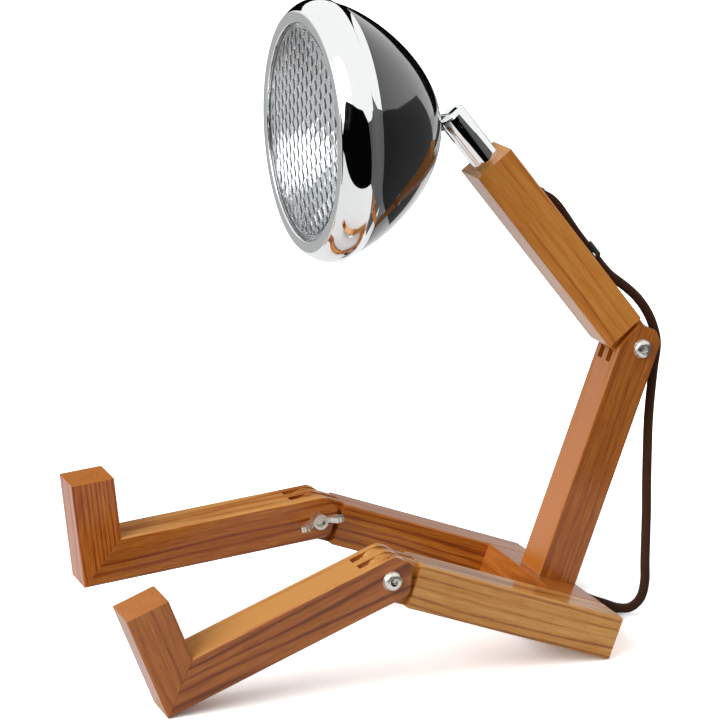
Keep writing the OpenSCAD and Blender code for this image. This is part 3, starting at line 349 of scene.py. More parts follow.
def teak(name, grain, board_at, dark, body, light, rings=0.3, ring_gap=8.0, flat=None):
    """Oiled and polished teak with its grain along the given direction. The board comes from
    board_at in the tree: metres along the grain and, twice, across it from the pith. The
    year rings are long soft lines, ring_gap mm apart, that darken the wood by rings, and the
    pores are dark dashes 0.3 mm wide. Faces that look up, and end faces that look along the
    grain, are painted paler as painted highlight: flat, if given, is the upward faces' colour."""
    ring_stray = 22.0                   # radians by which a slow noise bends the rings
    late_power, late_mean = 5.0, 0.2    # the late wood takes a narrow share of each ring
    end_highlight, top_highlight = 0.2, 0.4      # by which end faces up the grain and upward faces are painted paler: painted highlight
    along = Vector(grain).normalized()
    across = Vector((0, 1, 0)) if abs(along.y) < 0.9 else Vector((1, 0, 0))
    up = along.cross(across)
    turn = Matrix((along, across, up)).to_euler()
    wood, tree = new_finish(name)
    coordinates = add(tree, "ShaderNodeTexCoord").outputs
    lay = add(tree, "ShaderNodeMapping", Vector=coordinates["Object"], Rotation=turn,
              Location=board_at).outputs["Vector"]

    def streaks(scale, detail=2.0, roughness=0.5):
        """Noise with its features drawn out; the scale is features per metre."""
        drawn = add(tree, "ShaderNodeMapping", Vector=lay, Scale=scale)
        return add(tree, "ShaderNodeTexNoise", Vector=drawn.outputs["Vector"], Scale=1.0,
                   Detail=detail, Roughness=roughness).outputs["Fac"]

    # Year rings round a pith that lies outside the board, and that wanders slowly
    section = add(tree, "ShaderNodeMapping", Vector=lay, Scale=(0, 1, 1))
    radius = add(tree, "ShaderNodeVectorMath", {"operation": "LENGTH"},
                 _0=section.outputs["Vector"])
    phase = add(tree, "ShaderNodeMath", {"operation": "MULTIPLY"},
                _0=radius.outputs["Value"], _1=2 * math.pi / (ring_gap * mm))
    phase = add(tree, "ShaderNodeMath", {"operation": "MULTIPLY_ADD"},
                _0=streaks((3.5, 30, 30)), _1=ring_stray, _2=phase.outputs[0])
    swing = add(tree, "ShaderNodeMath", {"operation": "SINE"}, _0=phase.outputs[0])
    ring = add(tree, "ShaderNodeMapRange", Value=swing.outputs[0], From_Min=-1.0, From_Max=1.0)
    waning = add(tree, "ShaderNodeMapRange", Value=streaks((5, 120, 120)), From_Min=0.35,
                 From_Max=0.6, To_Min=0.15)
    # End faces that look along the grain get fainter rings and are painted paler: painted highlight
    end_on = add(tree, "ShaderNodeVectorMath", {"operation": "DOT_PRODUCT"},
                 _0=coordinates["Normal"], _1=along)
    long_face = add(tree, "ShaderNodeMapRange", Value=end_on.outputs["Value"], From_Min=0.5,
                    From_Max=0.9, To_Min=1.0, To_Max=0.25)
    late = add(tree, "ShaderNodeMath", {"operation": "POWER"}, _0=ring.outputs["Result"],
               _1=late_power)
    for fade in (waning, long_face):
        late = add(tree, "ShaderNodeMath", {"operation": "MULTIPLY"}, _0=late.outputs[0],
                   _1=fade.outputs["Result"])
    # Painted highlight: the faces that look up, square to the grain, are painted paler
    upward = add(tree, "ShaderNodeVectorMath", {"operation": "DOT_PRODUCT"},
                 _0=coordinates["Normal"], _1=up)
    top_highlight_mask = add(tree, "ShaderNodeMapRange", Value=upward.outputs["Value"], From_Min=0.5,
               From_Max=0.9, To_Max=top_highlight if flat else 0.0)
    fibre = streaks((50, 900, 900), 3.0, 0.6)
    pores = add(tree, "ShaderNodeMapRange", Value=streaks((90, 1900, 1900), 1.0),
                From_Min=0.58, From_Max=0.7)
    # Tone: 0.5 is plain wood; rings, painted face highlight, broad clouds, fibres and pores move it
    tone = add(tree, "ShaderNodeMath", {"operation": "MULTIPLY_ADD"},
               _0=late.outputs[0], _1=-rings, _2=rings * late_mean + end_highlight)
    for grey, weight in ((long_face.outputs["Result"], -end_highlight),
                         (streaks((4, 70, 70)), 0.3), (streaks((9, 260, 260)), 0.25),
                         (fibre, 0.5), (pores.outputs["Result"], -0.1),
                         (top_highlight_mask.outputs["Result"], 1.0)):
        tone = add(tree, "ShaderNodeMath", {"operation": "MULTIPLY_ADD"},
                   _0=grey, _1=weight, _2=tone.outputs[0])
    colour = add(tree, "ShaderNodeValToRGB", Fac=tone.outputs[0],
                 stops=((0.25, dark), (0.5, body), (0.7, light), (0.9, flat or light)))
    gloss = add(tree, "ShaderNodeMapRange", Value=fibre, From_Min=0.3, From_Max=0.7,
                To_Min=0.5, To_Max=0.42)
    relief = add(tree, "ShaderNodeBump", Height=fibre, Strength=0.12, Distance=0.08 * mm)
    skin = add(tree, "ShaderNodeBsdfPrincipled", Base_Color=colour.outputs["Color"],
               Roughness=gloss.outputs["Result"], IOR=1.2, Coat_Weight=0.75,
               Coat_Roughness=0.16, Normal=relief.outputs["Normal"])
    add(tree, "ShaderNodeOutputMaterial", Surface=skin.outputs["BSDF"])
    return wood


def tilted(degrees, upright=False):
    """A direction in the lamp's side plane, which rises backwards by so many degrees, or
    the one square to it."""
    c, s = math.cos(math.radians(degrees)), math.sin(math.radians(degrees))
    return (-s, 0, c) if upright else (c, 0, s)


seat_slope, left_slope, right_slope = -20.6, 20.854, 5.4
members = {
    # node: direction of the grain, place of the board in the tree, darkest, plain and
    # lightest wood, strength of the rings and their gap, painted highlight colour of upward faces
    "left_thigh": (tilted(seat_slope), (0.31, 0.1, 0.09), "#965622", "#c8863c", "#dca45a",
                   0.35, 6.0),
    "right_thigh": (tilted(seat_slope), (0.77, -0.02, 0.1), "#803c0a", "#aa5c18", "#c67c30",
                    0.35, 6.0),
    "hip_block": ((0, 1, 0), (0.13, 0.08, 0.05), "#8a4411", "#b0601f", "#c47635", 0.3, 6.0),
    "torso": (tilted(seat_slope, True), (0.9, 0.06, 0.03), "#7a360a", "#a2581a", "#be722c",
              0.1, 5.0, "#ba6c20"),
    "upper_arm": (tuple(arm_along), (1.4, 0.05, 0.12), "#ac5e20", "#d28232", "#e09846",
                  0.2, 7.0),
    "left_shank": (tilted(left_slope), (1.9, 0.12, 0.05), "#74360f", "#9e5522", "#ba7236",
                   0.4, 9.0, "#d89850"),
    "left_foot": (tilted(left_slope, True), (2.3, 0.1, 0.06), "#82400f", "#ac6228", "#c47a3c",
                  0.15, 5.0),
    "right_shank": (tilted(right_slope), (2.9, -0.02, 0.07), "#78340a", "#a05214", "#be722c",
                    0.4, 8.0, "#d89850"),
    "right_foot": (tilted(right_slope, True), (3.3, 0.02, 0.12), "#7a3006", "#aa5212",
                   "#c8782e", 0.45, 3.2),
}
for node, look in members.items():
    merged_copy(node, "teak_" + node, teak("oiled_teak_" + node, *look), edge=0.35)

# ---- Lamp shell -----------------------------------------------------------------------
# A bowl spun from 1.2 mm steel sheet and stoved in gloss black enamel. Its rear end is
# flattened for the knuckle's nut, and a collar at its rim carries the bezel.
head_pivot = Vector(joints["head_tilt"]["pos_m"])
bezel_front = (head_pivot.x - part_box("bezel_ring")[0].x) / mm
bezel_deep, bezel_sheet, seat_fit = 25.3, 1.0, 0.05
shell_rim = bezel_front - bezel_deep - seat_fit
shell_radius, shell_deep, shell_sheet = 76.7, 62.3, 1.2
nose_radius, nose_ahead, nose_sheet, stud_hole = 8, 14.8, 1.5, 4.15
# The collar at the rim enters the bezel: its play, length, root, step and radius
collar_fit, collar_long, collar_root, collar_step = 0.1, 11.4, 1.5, 0.3
collar = shell_radius - bezel_sheet - collar_fit


def turned(name, outline, sides=192):
    """The closed outline of (radius, distance ahead of the tilt pivot) in millimetres,
    turned about the head's axis."""
    shape = bmesh.new()
    rings = []
    for radius, ahead in outline:
        count = 1 if radius < 1e-6 else sides
        rings.append([
            shape.verts.new(head_pivot + Vector((
                -ahead,
                radius * math.sin(2 * math.pi * k / sides),
                radius * math.cos(2 * math.pi * k / sides),
            )) * mm)
            for k in range(count)
        ])
    for here, there in zip(rings, rings[1:] + rings[:1]):
        for k in range(sides):
            n = (k + 1) % sides
            corners = [here[k % len(here)], here[n % len(here)],
                       there[n % len(there)], there[k % len(there)]]
            corners = list(dict.fromkeys(corners))
            if len(corners) > 2:
                shape.faces.new(corners)
    bmesh.ops.recalc_face_normals(shape, faces=shape.faces)
    mesh = bpy.data.meshes.new(name)
    shape.to_mesh(mesh)
    shape.free()
    mesh.shade_smooth()
    mesh.set_sharp_from_angle(angle=math.radians(35))
    return new_piece(name, mesh)


def bowl(radius, depth, steps=56):
    """Half a bowl's outline, from its rim to its rear end. The powers make an ellipse of it
    that is full at the rim and drawn at the nose."""
    rim_power, nose_power = 1.914, 1.246
    line = []
    for i in range(steps + 1):
        turn = math.pi / 2 * i / steps
        line.append((radius * math.cos(turn) ** (2 / rim_power) if i < steps else 0.0,
                     shell_rim - depth * math.sin(turn) ** (2 / nose_power)))
    return line


outer = [(r, max(z, nose_ahead))
         for r, z in bowl(shell_radius, shell_deep) if r > nose_radius]
inner = [(r, max(z, nose_ahead + nose_sheet))
         for r, z in bowl(shell_radius - shell_sheet, shell_deep - shell_sheet)
         if r > nose_radius]
shell = turned("lamp_bowl", outer + [
    (stud_hole, nose_ahead), (stud_hole, nose_ahead + nose_sheet),
] + inner[::-1][:-1] + [
    (collar - shell_sheet, shell_rim - collar_root),
    (collar - shell_sheet, shell_rim + collar_long), (collar, shell_rim + collar_long),
    (collar, shell_rim), (collar + collar_step, shell_rim),
])
# Stoved enamel: a deep black with a wet gloss and a faint orange peel, 2 mm across
enamel, tree = new_finish("gloss_black_enamel")
place = add(tree, "ShaderNodeTexCoord").outputs["Object"]
peel = add(tree, "ShaderNodeTexNoise", Vector=place, Scale=450.0, Detail=1.0)
haze = add(tree, "ShaderNodeTexNoise", Vector=place, Scale=60.0, Detail=4.0)
gloss = add(tree, "ShaderNodeMapRange", Value=haze.outputs["Fac"], From_Min=0.3, From_Max=0.7,
            To_Min=0.05, To_Max=0.09)
colour = add(tree, "ShaderNodeValToRGB", Fac=haze.outputs["Fac"],
             stops=((0.3, "#151516"), (0.7, "#1b1b1d")))
relief = add(tree, "ShaderNodeBump", Height=peel.outputs["Fac"], Strength=0.05,
             Distance=0.02 * mm)
skin = add(tree, "ShaderNodeBsdfPrincipled", Base_Color=colour.outputs["Color"], IOR=1.6,
           Coat_Weight=1.0, Coat_Roughness=0.03, Roughness=gloss.outputs["Result"],
           Normal=relief.outputs["Normal"])
add(tree, "ShaderNodeOutputMaterial", Surface=skin.outputs["BSDF"])
shell.data.materials.append(enamel)
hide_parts("lamp_shell")
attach(shell, "head")

# ---- Bezel ring -----------------------------------------------------------------------
# Pressed from 1 mm brass sheet, polished and chromed: a flat lip around the glass, a bulged
# band, a crease and a narrow flange that hugs the shell. One screw holds it from below.
opening, lip, band = 66.6, 73.9, 80.5               # radii
lip_deep, band_at, crease_at = 0.8, 14.5, 18.8      # behind the front
hem_deep, hem_wide, hem_round = 2.2, 1.2, 0.7
lip_round, lip_corner, lip_extra = 0.75, 1.4, 0.2
shoulder_low, shoulder_behind = 0.75, 0.3           # off the band, and behind the crease
crease_low, crease_behind, flange_fit = 1.3, 0.7, 0.2
band_bend = ((band - lip) ** 2 + (band_at - lip_deep) ** 2) / (2 * (band - lip))


def band_line(radius, steps=20):
    """The bulge from the lip to the crease, at the radius about the bulge's own middle."""
    first = -math.asin((band_at - lip_deep) / band_bend)
    last = math.asin((crease_at - band_at) / band_bend)
    turns = [first + (last - first) * i / steps for i in range(steps + 1)]
    return [(band - band_bend + radius * math.cos(t),
             bezel_front - band_at - radius * math.sin(t)) for t in turns]


def quarter(radius, ahead, size, start, steps=5):
    """A quarter round of that size about a point; start is in quarter turns from outwards."""
    turns = [math.pi / 2 * (start - i / steps) for i in range(steps + 1)]
    return [(radius + size * math.cos(t), ahead + size * math.sin(t)) for t in turns]


crease_ahead = bezel_front - crease_at
flange_end = bezel_front - bezel_deep
lip_inside = bezel_front - bezel_sheet - lip_extra
bezel = turned("bezel", [(opening, bezel_front - hem_deep)]
               + quarter(opening + hem_round, bezel_front - hem_round, hem_round, 2)
               + quarter(lip - lip_round, bezel_front - lip_round, lip_round, 1)
               + band_line(band_bend)
               + [(band - shoulder_low, crease_ahead - shoulder_behind),
                  (band - crease_low, crease_ahead - crease_behind),
                  (shell_radius + flange_fit, flange_end),
                  (shell_radius + flange_fit - bezel_sheet, flange_end),
                  (band - crease_low - bezel_sheet, crease_ahead - crease_behind)]
               + band_line(band_bend - bezel_sheet)[::-1]
               + [(lip - lip_corner, lip_inside), (opening + hem_wide, lip_inside),
                  (opening + hem_wide, bezel_front - hem_deep)])
# Bright chrome plate over polished metal: a cool mirror that very faint wipe marks, up to
# 3 mm wide, hardly dull
bright_chrome, tree = new_finish("bright_chrome")
place = add(tree, "ShaderNodeTexCoord").outputs["Object"]
wipe_place = add(tree, "ShaderNodeMapping", Vector=place, Scale=(300, 60, 300))
wipes = add(tree, "ShaderNodeTexNoise", Vector=wipe_place.outputs["Vector"], Scale=1.0,
            Detail=4.0)
gloss = add(tree, "ShaderNodeMapRange", Value=wipes.outputs["Fac"], From_Min=0.35,
            From_Max=0.75, To_Min=0.021, To_Max=0.049)
colour = add(tree, "ShaderNodeValToRGB", Fac=wipes.outputs["Fac"],
             stops=((0.3, "#f1f3f4"), (0.7, "#f4f6f6")))
skin = add(tree, "ShaderNodeBsdfPrincipled", Base_Color=colour.outputs["Color"],
           Metallic=1.0, Roughness=gloss.outputs["Result"])
add(tree, "ShaderNodeOutputMaterial", Surface=skin.outputs["BSDF"])
bezel.data.materials.append(bright_chrome)
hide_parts("bezel_ring")
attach(bezel, "head")

# ---- Lens -----------------------------------------------------------------------------
# A pressed glass, 3 mm thick and slightly domed. Its inside is covered with a honeycomb of
# flat-topped pillows, 9 mm apart, that spreads the light; a plain band runs round its edge.
lens_fit, lens_set = 0.4, 1.25      # play in the opening, and depth behind the front
lens_edge, lens_dome, lens_thick = opening - lens_fit, 2.7, 3.0
lens_rim, rim_step, plain_band = 70.5, 1, 2
lens_face = bezel_front - lens_set
lens_rear = lens_face - lens_thick - rim_step
pillow_sizes = {"Pitch": 8.9, "Depth": 0.9, "Radius": 62.0}


def dome(radius, ahead, steps):
    """A shallow dome over the radius, from its middle to its edge."""
    bend = (radius**2 + lens_dome**2) / (2 * lens_dome)
    return [(radius * i / steps,
             ahead + math.sqrt(bend**2 - (radius * i / steps) ** 2) - bend + lens_dome)
            for i in range(steps + 1)]


lens_back = dome(lens_edge - plain_band, lens_rear, steps=80)
lens = turned("lens_glass", dome(lens_edge, lens_face, steps=24) + [
    (lens_edge, lens_face - rim_step), (lens_rim, lens_face - rim_step),
    (lens_rim, lens_rear), (lens_edge, lens_rear),
] + lens_back[::-1], sides=288)

# The honeycomb is two grids of oblong cells, one set off by half a cell: each place of the
# glass rises by its distance from the nearest middle of a cell
pillows = bpy.data.node_groups.new("lens_pillows", "GeometryNodeTree")
pillows.interface.new_socket("Glass", in_out="INPUT", socket_type="NodeSocketGeometry")
for label in pillow_sizes:
    pillows.interface.new_socket(label, in_out="INPUT", socket_type="NodeSocketFloat")
pillows.interface.new_socket("Lens", in_out="OUTPUT", socket_type="NodeSocketGeometry")
given = add(pillows, "NodeGroupInput").outputs
centred = add(pillows, "ShaderNodeVectorMath", {"operation": "SUBTRACT"},
              _0=add(pillows, "GeometryNodeInputPosition").outputs[0], _1=head_pivot)
parts = add(pillows, "ShaderNodeSeparateXYZ", Vector=centred.outputs[0])
radius = add(pillows, "ShaderNodeVectorMath", {"operation": "LENGTH"},
             _0=add(pillows, "ShaderNodeCombineXYZ", Y=parts.outputs["Y"],
                    Z=parts.outputs["Z"]).outputs[0])
row = add(pillows, "ShaderNodeMath", {"operation": "MULTIPLY"}, _0=given["Pitch"],
          _1=math.sqrt(3) / 2)
half = add(pillows, "ShaderNodeMath", {"operation": "MULTIPLY"}, _0=given["Pitch"], _1=0.5)
cell = add(pillows, "ShaderNodeCombineXYZ", X=1.0, Y=row.outputs[0], Z=half.outputs[0])
low_cell = add(pillows, "ShaderNodeVectorMath", {"operation": "SCALE"}, _0=cell.outputs[0],
               Scale=-1.0)
shifted = add(pillows, "ShaderNodeVectorMath", {"operation": "ADD"}, _0=centred.outputs[0],
              _1=cell.outputs[0])
spans = []
for start in (centred, shifted):
    near = add(pillows, "ShaderNodeVectorMath", {"operation": "WRAP"}, _0=start.outputs[0],
               _1=cell.outputs[0], _2=low_cell.outputs[0])
    flat = add(pillows, "ShaderNodeVectorMath", {"operation": "MULTIPLY"},
               _0=near.outputs[0], _1=(0, 1, 1))
    spans.append(add(pillows, "ShaderNodeVectorMath", {"operation": "LENGTH"},
                     _0=flat.outputs[0]).outputs["Value"])
nearest = add(pillows, "ShaderNodeMath", {"operation": "MINIMUM"}, _0=spans[0], _1=spans[1])
share = add(pillows, "ShaderNodeMath", {"operation": "DIVIDE"}, _0=nearest.outputs[0],
            _1=given["Pitch"])
# A pillow falls off with the cube of that distance, to nothing in its six corners
pillow_power, pillow_fall = 3.0, 5.2
slope = add(pillows, "ShaderNodeMath", {"operation": "POWER"}, _0=share.outputs[0],
            _1=pillow_power)
fall = add(pillows, "ShaderNodeMath", {"operation": "MULTIPLY_ADD"}, _0=slope.outputs[0],
           _1=-pillow_fall, _2=1.0)
rise = add(pillows, "ShaderNodeMath", {"operation": "MULTIPLY"}, _0=fall.outputs[0],
           _1=given["Depth"])
inside = add(pillows, "ShaderNodeMath", {"operation": "LESS_THAN"},
             _0=radius.outputs["Value"], _1=given["Radius"])
facing = add(pillows, "ShaderNodeSeparateXYZ",
             Vector=add(pillows, "GeometryNodeInputNormal").outputs["Normal"])
behind = add(pillows, "ShaderNodeMath", {"operation": "GREATER_THAN"},
             _0=facing.outputs["X"], _1=0.5)
chosen = add(pillows, "ShaderNodeMath", {"operation": "MULTIPLY"}, _0=inside.outputs[0],
             _1=behind.outputs[0])
push = add(pillows, "ShaderNodeCombineXYZ", X=rise.outputs[0])
pressed = add(pillows, "GeometryNodeSetPosition", Geometry=given["Glass"],
              Selection=chosen.outputs[0], Offset=push.outputs[0])

# Clear pressed glass, faintly grey, with a slight waviness from the mould
glass, tree = new_finish("pressed_glass")
place = add(tree, "ShaderNodeTexCoord").outputs["Object"]
wave = add(tree, "ShaderNodeTexNoise", Vector=place, Scale=120.0, Detail=2.0)
relief = add(tree, "ShaderNodeBump", Height=wave.outputs["Fac"], Strength=0.15,
             Distance=0.1 * mm)
skin = add(tree, "ShaderNodeBsdfPrincipled", Base_Color=linear("#f2f5f6"),
           Transmission_Weight=1.0, IOR=1.5, Roughness=0.02, Normal=relief.outputs["Normal"])
add(tree, "ShaderNodeOutputMaterial", Surface=skin.outputs["BSDF"])
whole = add(pillows, "GeometryNodeRealizeInstances", Geometry=pressed.outputs[0])
dressed = add(pillows, "GeometryNodeSetMaterial", Geometry=whole.outputs[0], Material=glass)
add(pillows, "NodeGroupOutput", Lens=dressed.outputs[0])

pressing = lens.modifiers.new("pillows", "NODES")
pressing.node_group = pillows
for item in pillows.interface.items_tree:
    if item.name in pillow_sizes:
        pressing[item.identifier] = pillow_sizes[item.name] * mm
evaluated = lens.evaluated_get(bpy.context.evaluated_depsgraph_get())
pressed_mesh = bpy.data.meshes.new_from_object(evaluated)
lens.modifiers.remove(pressing)
lens.data = pressed_mesh
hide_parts("lens")
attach(lens, "head")

# ---- Reflector, bulb and holder -------------------------------------------------------
# A spun aluminium dish, brightened and anodised, behind the glass. Four springs press it
# and a rubber ring against the glass. A ceramic holder in its neck carries an opal bulb.
gasket_thick = 1.2
dish_inset, rim_low, rim_behind = 1.0, 0.2, 0.3     # its rim's corner is eased
dish_back, dish_rim = lens_rear - gasket_thick, opening - dish_inset
dish_deep, dish_neck, dish_sheet, neck_long = 46, 14, 0.8, 8.8
neck_end = dish_back - dish_deep - neck_long


def dish_line(start, end, ahead, steps=48):
    """A dish's hollow side from the radius start to the radius end, dish_deep behind it."""
    bend = (start**2 - end**2) / dish_deep
    radii = [start + (end - start) * i / steps for i in range(steps + 1)]
    return [(r, ahead - (start**2 - r**2) / bend) for r in radii]


reflector = turned("reflector_dish", [(lens_rim, dish_back), (dish_rim, dish_back)]
                   + dish_line(dish_rim - rim_low, dish_neck, dish_back - rim_behind)
                   + [(dish_neck, neck_end), (dish_neck + dish_sheet, neck_end)]
                   + dish_line(dish_rim + dish_sheet, dish_neck + dish_sheet,
                               dish_back - dish_sheet)[::-1]
                   + [(lens_rim, dish_back - dish_sheet)])
# Brightened aluminium: a soft-edged mirror with fine turned rings 1 mm apart
bright, tree = new_finish("brightened_aluminium")
place = add(tree, "ShaderNodeTexCoord").outputs["Object"]
centre = add(tree, "ShaderNodeMapping", Vector=place, Location=tuple(-head_pivot))
rings = add(tree, "ShaderNodeTexWave", {"wave_type": "RINGS", "rings_direction": "X"},
            Vector=centre.outputs["Vector"], Scale=310.0, Distortion=0.4)
gloss = add(tree, "ShaderNodeMapRange", Value=rings.outputs["Fac"], To_Min=0.1, To_Max=0.2)
colour = add(tree, "ShaderNodeValToRGB", Fac=rings.outputs["Fac"],
             stops=((0.2, "#d2d4d6"), (0.8, "#dfe0e2")))
skin = add(tree, "ShaderNodeBsdfPrincipled", Base_Color=colour.outputs["Color"],
           Metallic=1.0, Roughness=gloss.outputs["Result"])
add(tree, "ShaderNodeOutputMaterial", Surface=skin.outputs["BSDF"])
reflector.data.materials.append(bright)
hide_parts("reflector")
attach(reflector, "head")


def moulded(name, low, high, roughness, grit=2500.0, depth=0.02, **extra):
    """A moulded or cast surface with a fine grain, of grit features per metre and depth mm;
    low and high are its darkest and lightest colours."""
    finish, tree = new_finish(name)
    place = add(tree, "ShaderNodeTexCoord").outputs["Object"]
    grain = add(tree, "ShaderNodeTexNoise", Vector=place, Scale=grit, Detail=3.0)
    cloud = add(tree, "ShaderNodeTexNoise", Vector=place, Scale=90.0, Detail=3.0)
    colour = add(tree, "ShaderNodeValToRGB", Fac=cloud.outputs["Fac"],
                 stops=((0.3, low), (0.7, high)))
    gloss = add(tree, "ShaderNodeMapRange", Value=cloud.outputs["Fac"], From_Min=0.3,
                From_Max=0.7, To_Min=roughness * 0.85, To_Max=roughness * 1.15)
    relief = add(tree, "ShaderNodeBump", Height=grain.outputs["Fac"], Strength=0.3,
                 Distance=depth * mm)
    skin = add(tree, "ShaderNodeBsdfPrincipled", Base_Color=colour.outputs["Color"],
               Roughness=gloss.outputs["Result"], Normal=relief.outputs["Normal"], **extra)
    add(tree, "ShaderNodeOutputMaterial", Surface=skin.outputs["BSDF"])
    return finish


opal_glass = moulded("opal_glass", "#ecebe4", "#f7f6f1", 0.25, depth=0.004,
                     Subsurface_Weight=0.3, Subsurface_Scale=0.002)
glazed_ceramic = moulded("glazed_ceramic", "#dfddd5", "#eeece6", 0.2, depth=0.01)
black_rubber = moulded("black_rubber", "#161616", "#232323", 0.75)
merged_copy("bulb", "opal_bulb", opal_glass)
merged_copy("lamp_holder", "ceramic_holder", glazed_ceramic, edge=0.4)
merged_copy("lens_gasket", "rubber_ring", black_rubber)

# ---- Neck -----------------------------------------------------------------------------
# A chromed brass tube that turns in a bush in the end of the arm. A slot in its end takes
# the flat tongue of the knuckle, which tilts on a cross pin and is bolted to the shell.
merged_copy("neck_tube", "neck_tube_chromed", bright_chrome, edge=0.3)
merged_copy("tilt_pin", "tilt_pin_chromed", bright_chrome, edge=0.15)
merged_copy("head_knuckle", "knuckle_chromed", bright_chrome, edge=0.3)
# Turned brass with fine tool marks, hardly seen once the neck is in
brass, tree = new_finish("turned_brass")
place = add(tree, "ShaderNodeTexCoord").outputs["Object"]
marks = add(tree, "ShaderNodeTexNoise", Vector=place, Scale=700.0, Detail=2.0)
colour = add(tree, "ShaderNodeValToRGB", Fac=marks.outputs["Fac"],
             stops=((0.3, "#b98f45"), (0.7, "#d2aa62")))
gloss = add(tree, "ShaderNodeMapRange", Value=marks.outputs["Fac"], To_Min=0.2, To_Max=0.34)
skin = add(tree, "ShaderNodeBsdfPrincipled", Base_Color=colour.outputs["Color"],
           Metallic=1.0, Roughness=gloss.outputs["Result"])
add(tree, "ShaderNodeOutputMaterial", Surface=skin.outputs["BSDF"])
merged_copy("neck_bush", "brass_bush", brass)

# ---- Clamp bolts, washers and wing nuts -----------------------------------------------
# M6 button-head bolts with a hexagon socket clamp the knees and the elbow. A washer lies
# under each head and each cast wing nut, so that a turn of the wings sets the friction.


def nickel(name, low, high, roughness):
    """Nickel plate on steel: warmer than chrome, with a soft cloudy gloss. Low and high are
    its darkest and lightest colours."""
    plate, tree = new_finish(name)
    place = add(tree, "ShaderNodeTexCoord").outputs["Object"]
    cloud = add(tree, "ShaderNodeTexNoise", Vector=place, Scale=500.0, Detail=4.0)
    colour = add(tree, "ShaderNodeValToRGB", Fac=cloud.outputs["Fac"],
                 stops=((0.3, low), (0.7, high)))
    gloss = add(tree, "ShaderNodeMapRange", Value=cloud.outputs["Fac"], From_Min=0.3,
                From_Max=0.7, To_Min=roughness * 0.7, To_Max=roughness * 1.3)
    skin = add(tree, "ShaderNodeBsdfPrincipled", Base_Color=colour.outputs["Color"],
               Metallic=1.0, Roughness=gloss.outputs["Result"])
    add(tree, "ShaderNodeOutputMaterial", Surface=skin.outputs["BSDF"])
    return plate


def refinished(names, finish):
    """Gives the CAD's own solids a finish: they are hidden in the wood, or nearly so."""
    for node in names:
        nodes[node].data.materials.clear()
        nodes[node].data.materials.append(finish)


bright_nickel = nickel("bright_nickel", "#dedbd2", "#f0ede6", 0.3)
dull_nickel = nickel("dull_nickel", "#8a8882", "#a9a7a0", 0.36)
fittings = {
    # node: edge radius in millimetres
    "elbow_bolt": 0.3, "elbow_washers": 0.15, "elbow_wing_nut": 0.6,
    "left_knee_bolt": 0.3, "left_knee_washers": 0.15, "left_wing_nut": 0.6,
    "right_knee_bolt": 0.3, "right_knee_washers": 0.15, "right_wing_nut": 0.6,
    "clip_screws": 0.15, "bezel_screw": 0.2, "knuckle_washer": 0.1, "knuckle_nut": 0.2,
    "switch_screws": 0.15, "reflector_clips": 0.15,
}
for node, edge in fittings.items():
    merged_copy(node, node + "_plated", bright_nickel, edge)
refinished(("torso_screws", "neck_grub_screw"), dull_nickel)

# ---- Dowels ---------------------------------------------------------------------------
# Beech pegs, turned along the grain and glued into the hip block and across each heel.
# They are inside the wood and never seen.
peg_wood = teak("plain_beech", (0, 1, 0), (0.2, 0.3, 0.1), "#b08a5c", "#cfae80", "#e0c598")
refinished(("hip_dowels", "left_heel_dowels", "right_heel_dowels"), peg_wood)

# ---- Lead sleeve, clip and tie --------------------------------------------------------
# Moulded black nylon: the tapered sleeve where the lead leaves the arm, the saddle that
# two small screws hold to the arm, and the band around the coil.
nylon = moulded("black_nylon", "#141414", "#1f1f1f", 0.42)
for node, edge in {"cord_sleeve": 0.2, "cable_clip": 0.5, "coil_tie": 0.25}.items():
    merged_copy(node, node + "_nylon", nylon, edge)

# ---- Leads inside the neck and head ---------------------------------------------------
# The same braided flex inside the wood and the neck, and two thin wires in the head.
# They stay out of sight, so a plain fibrous grain stands for the braid.
flex = moulded("inner_flex", "#4a2f1d", "#6b4a31", 0.85, grit=1800.0, depth=0.2)
for node in ("inner_lead", "neck_lead", "head_lead"):
    merged_copy(node, node + "_flex", flex)

# ---- Switch and plug ------------------------------------------------------------------
# Dark brown moulded shells with a fine spark texture. Two screws close the switch from
# below; its rocker turns on a moulded spindle. The plug has two bright plated pins.
shell_plastic = moulded("brown_shell", "#231a15", "#33271f", 0.33)
rocker_plastic = moulded("dark_rocker", "#15110f", "#211b18", 0.22)
for node, (finish, edge) in {
    "switch_base": (shell_plastic, 0.5), "switch_cover": (shell_plastic, 0.5),
    "switch_rocker": (rocker_plastic, 0.3), "plug_body": (shell_plastic, 1.2),
    "plug_pins": (bright_chrome, 0.3),
}.items():
    merged_copy(node, node + "_case", finish, edge)

# ---- Table and light ------------------------------------------------------------------
# A grey table under an even sky, which the eye and the mirrors see as white, with the lamp's
# shadow. A wide soft sun comes from the left, a soft box stands behind on the right, and
# cards that only the chrome and the enamel mirror give them their dark bands.
table_half, table_top = 8.0, -0.3 * mm      # a hair below the feet
table_grey, table_chalk = 0.4, 0.92
sky_light, sky_seen = 0.5, 1.0


def ray_kinds(tree):
    """Whether a ray is the eye's own, and whether a mirror or the glass has sent it on."""
    rays = add(tree, "ShaderNodeLightPath").outputs
    mirrored = add(tree, "ShaderNodeMath", {"operation": "MAXIMUM"},
                   _0=rays["Is Glossy Ray"], _1=rays["Is Transmission Ray"])
    return rays["Is Camera Ray"], mirrored.outputs[0]


table_mesh = bpy.data.meshes.new("table")
table_mesh.from_pydata(
    [(x * table_half, y * table_half, table_top)
     for x, y in ((-1, -1), (1, -1), (1, 1), (-1, 1))],
    [], [(0, 1, 2, 3)])
table = new_piece("table", table_mesh)
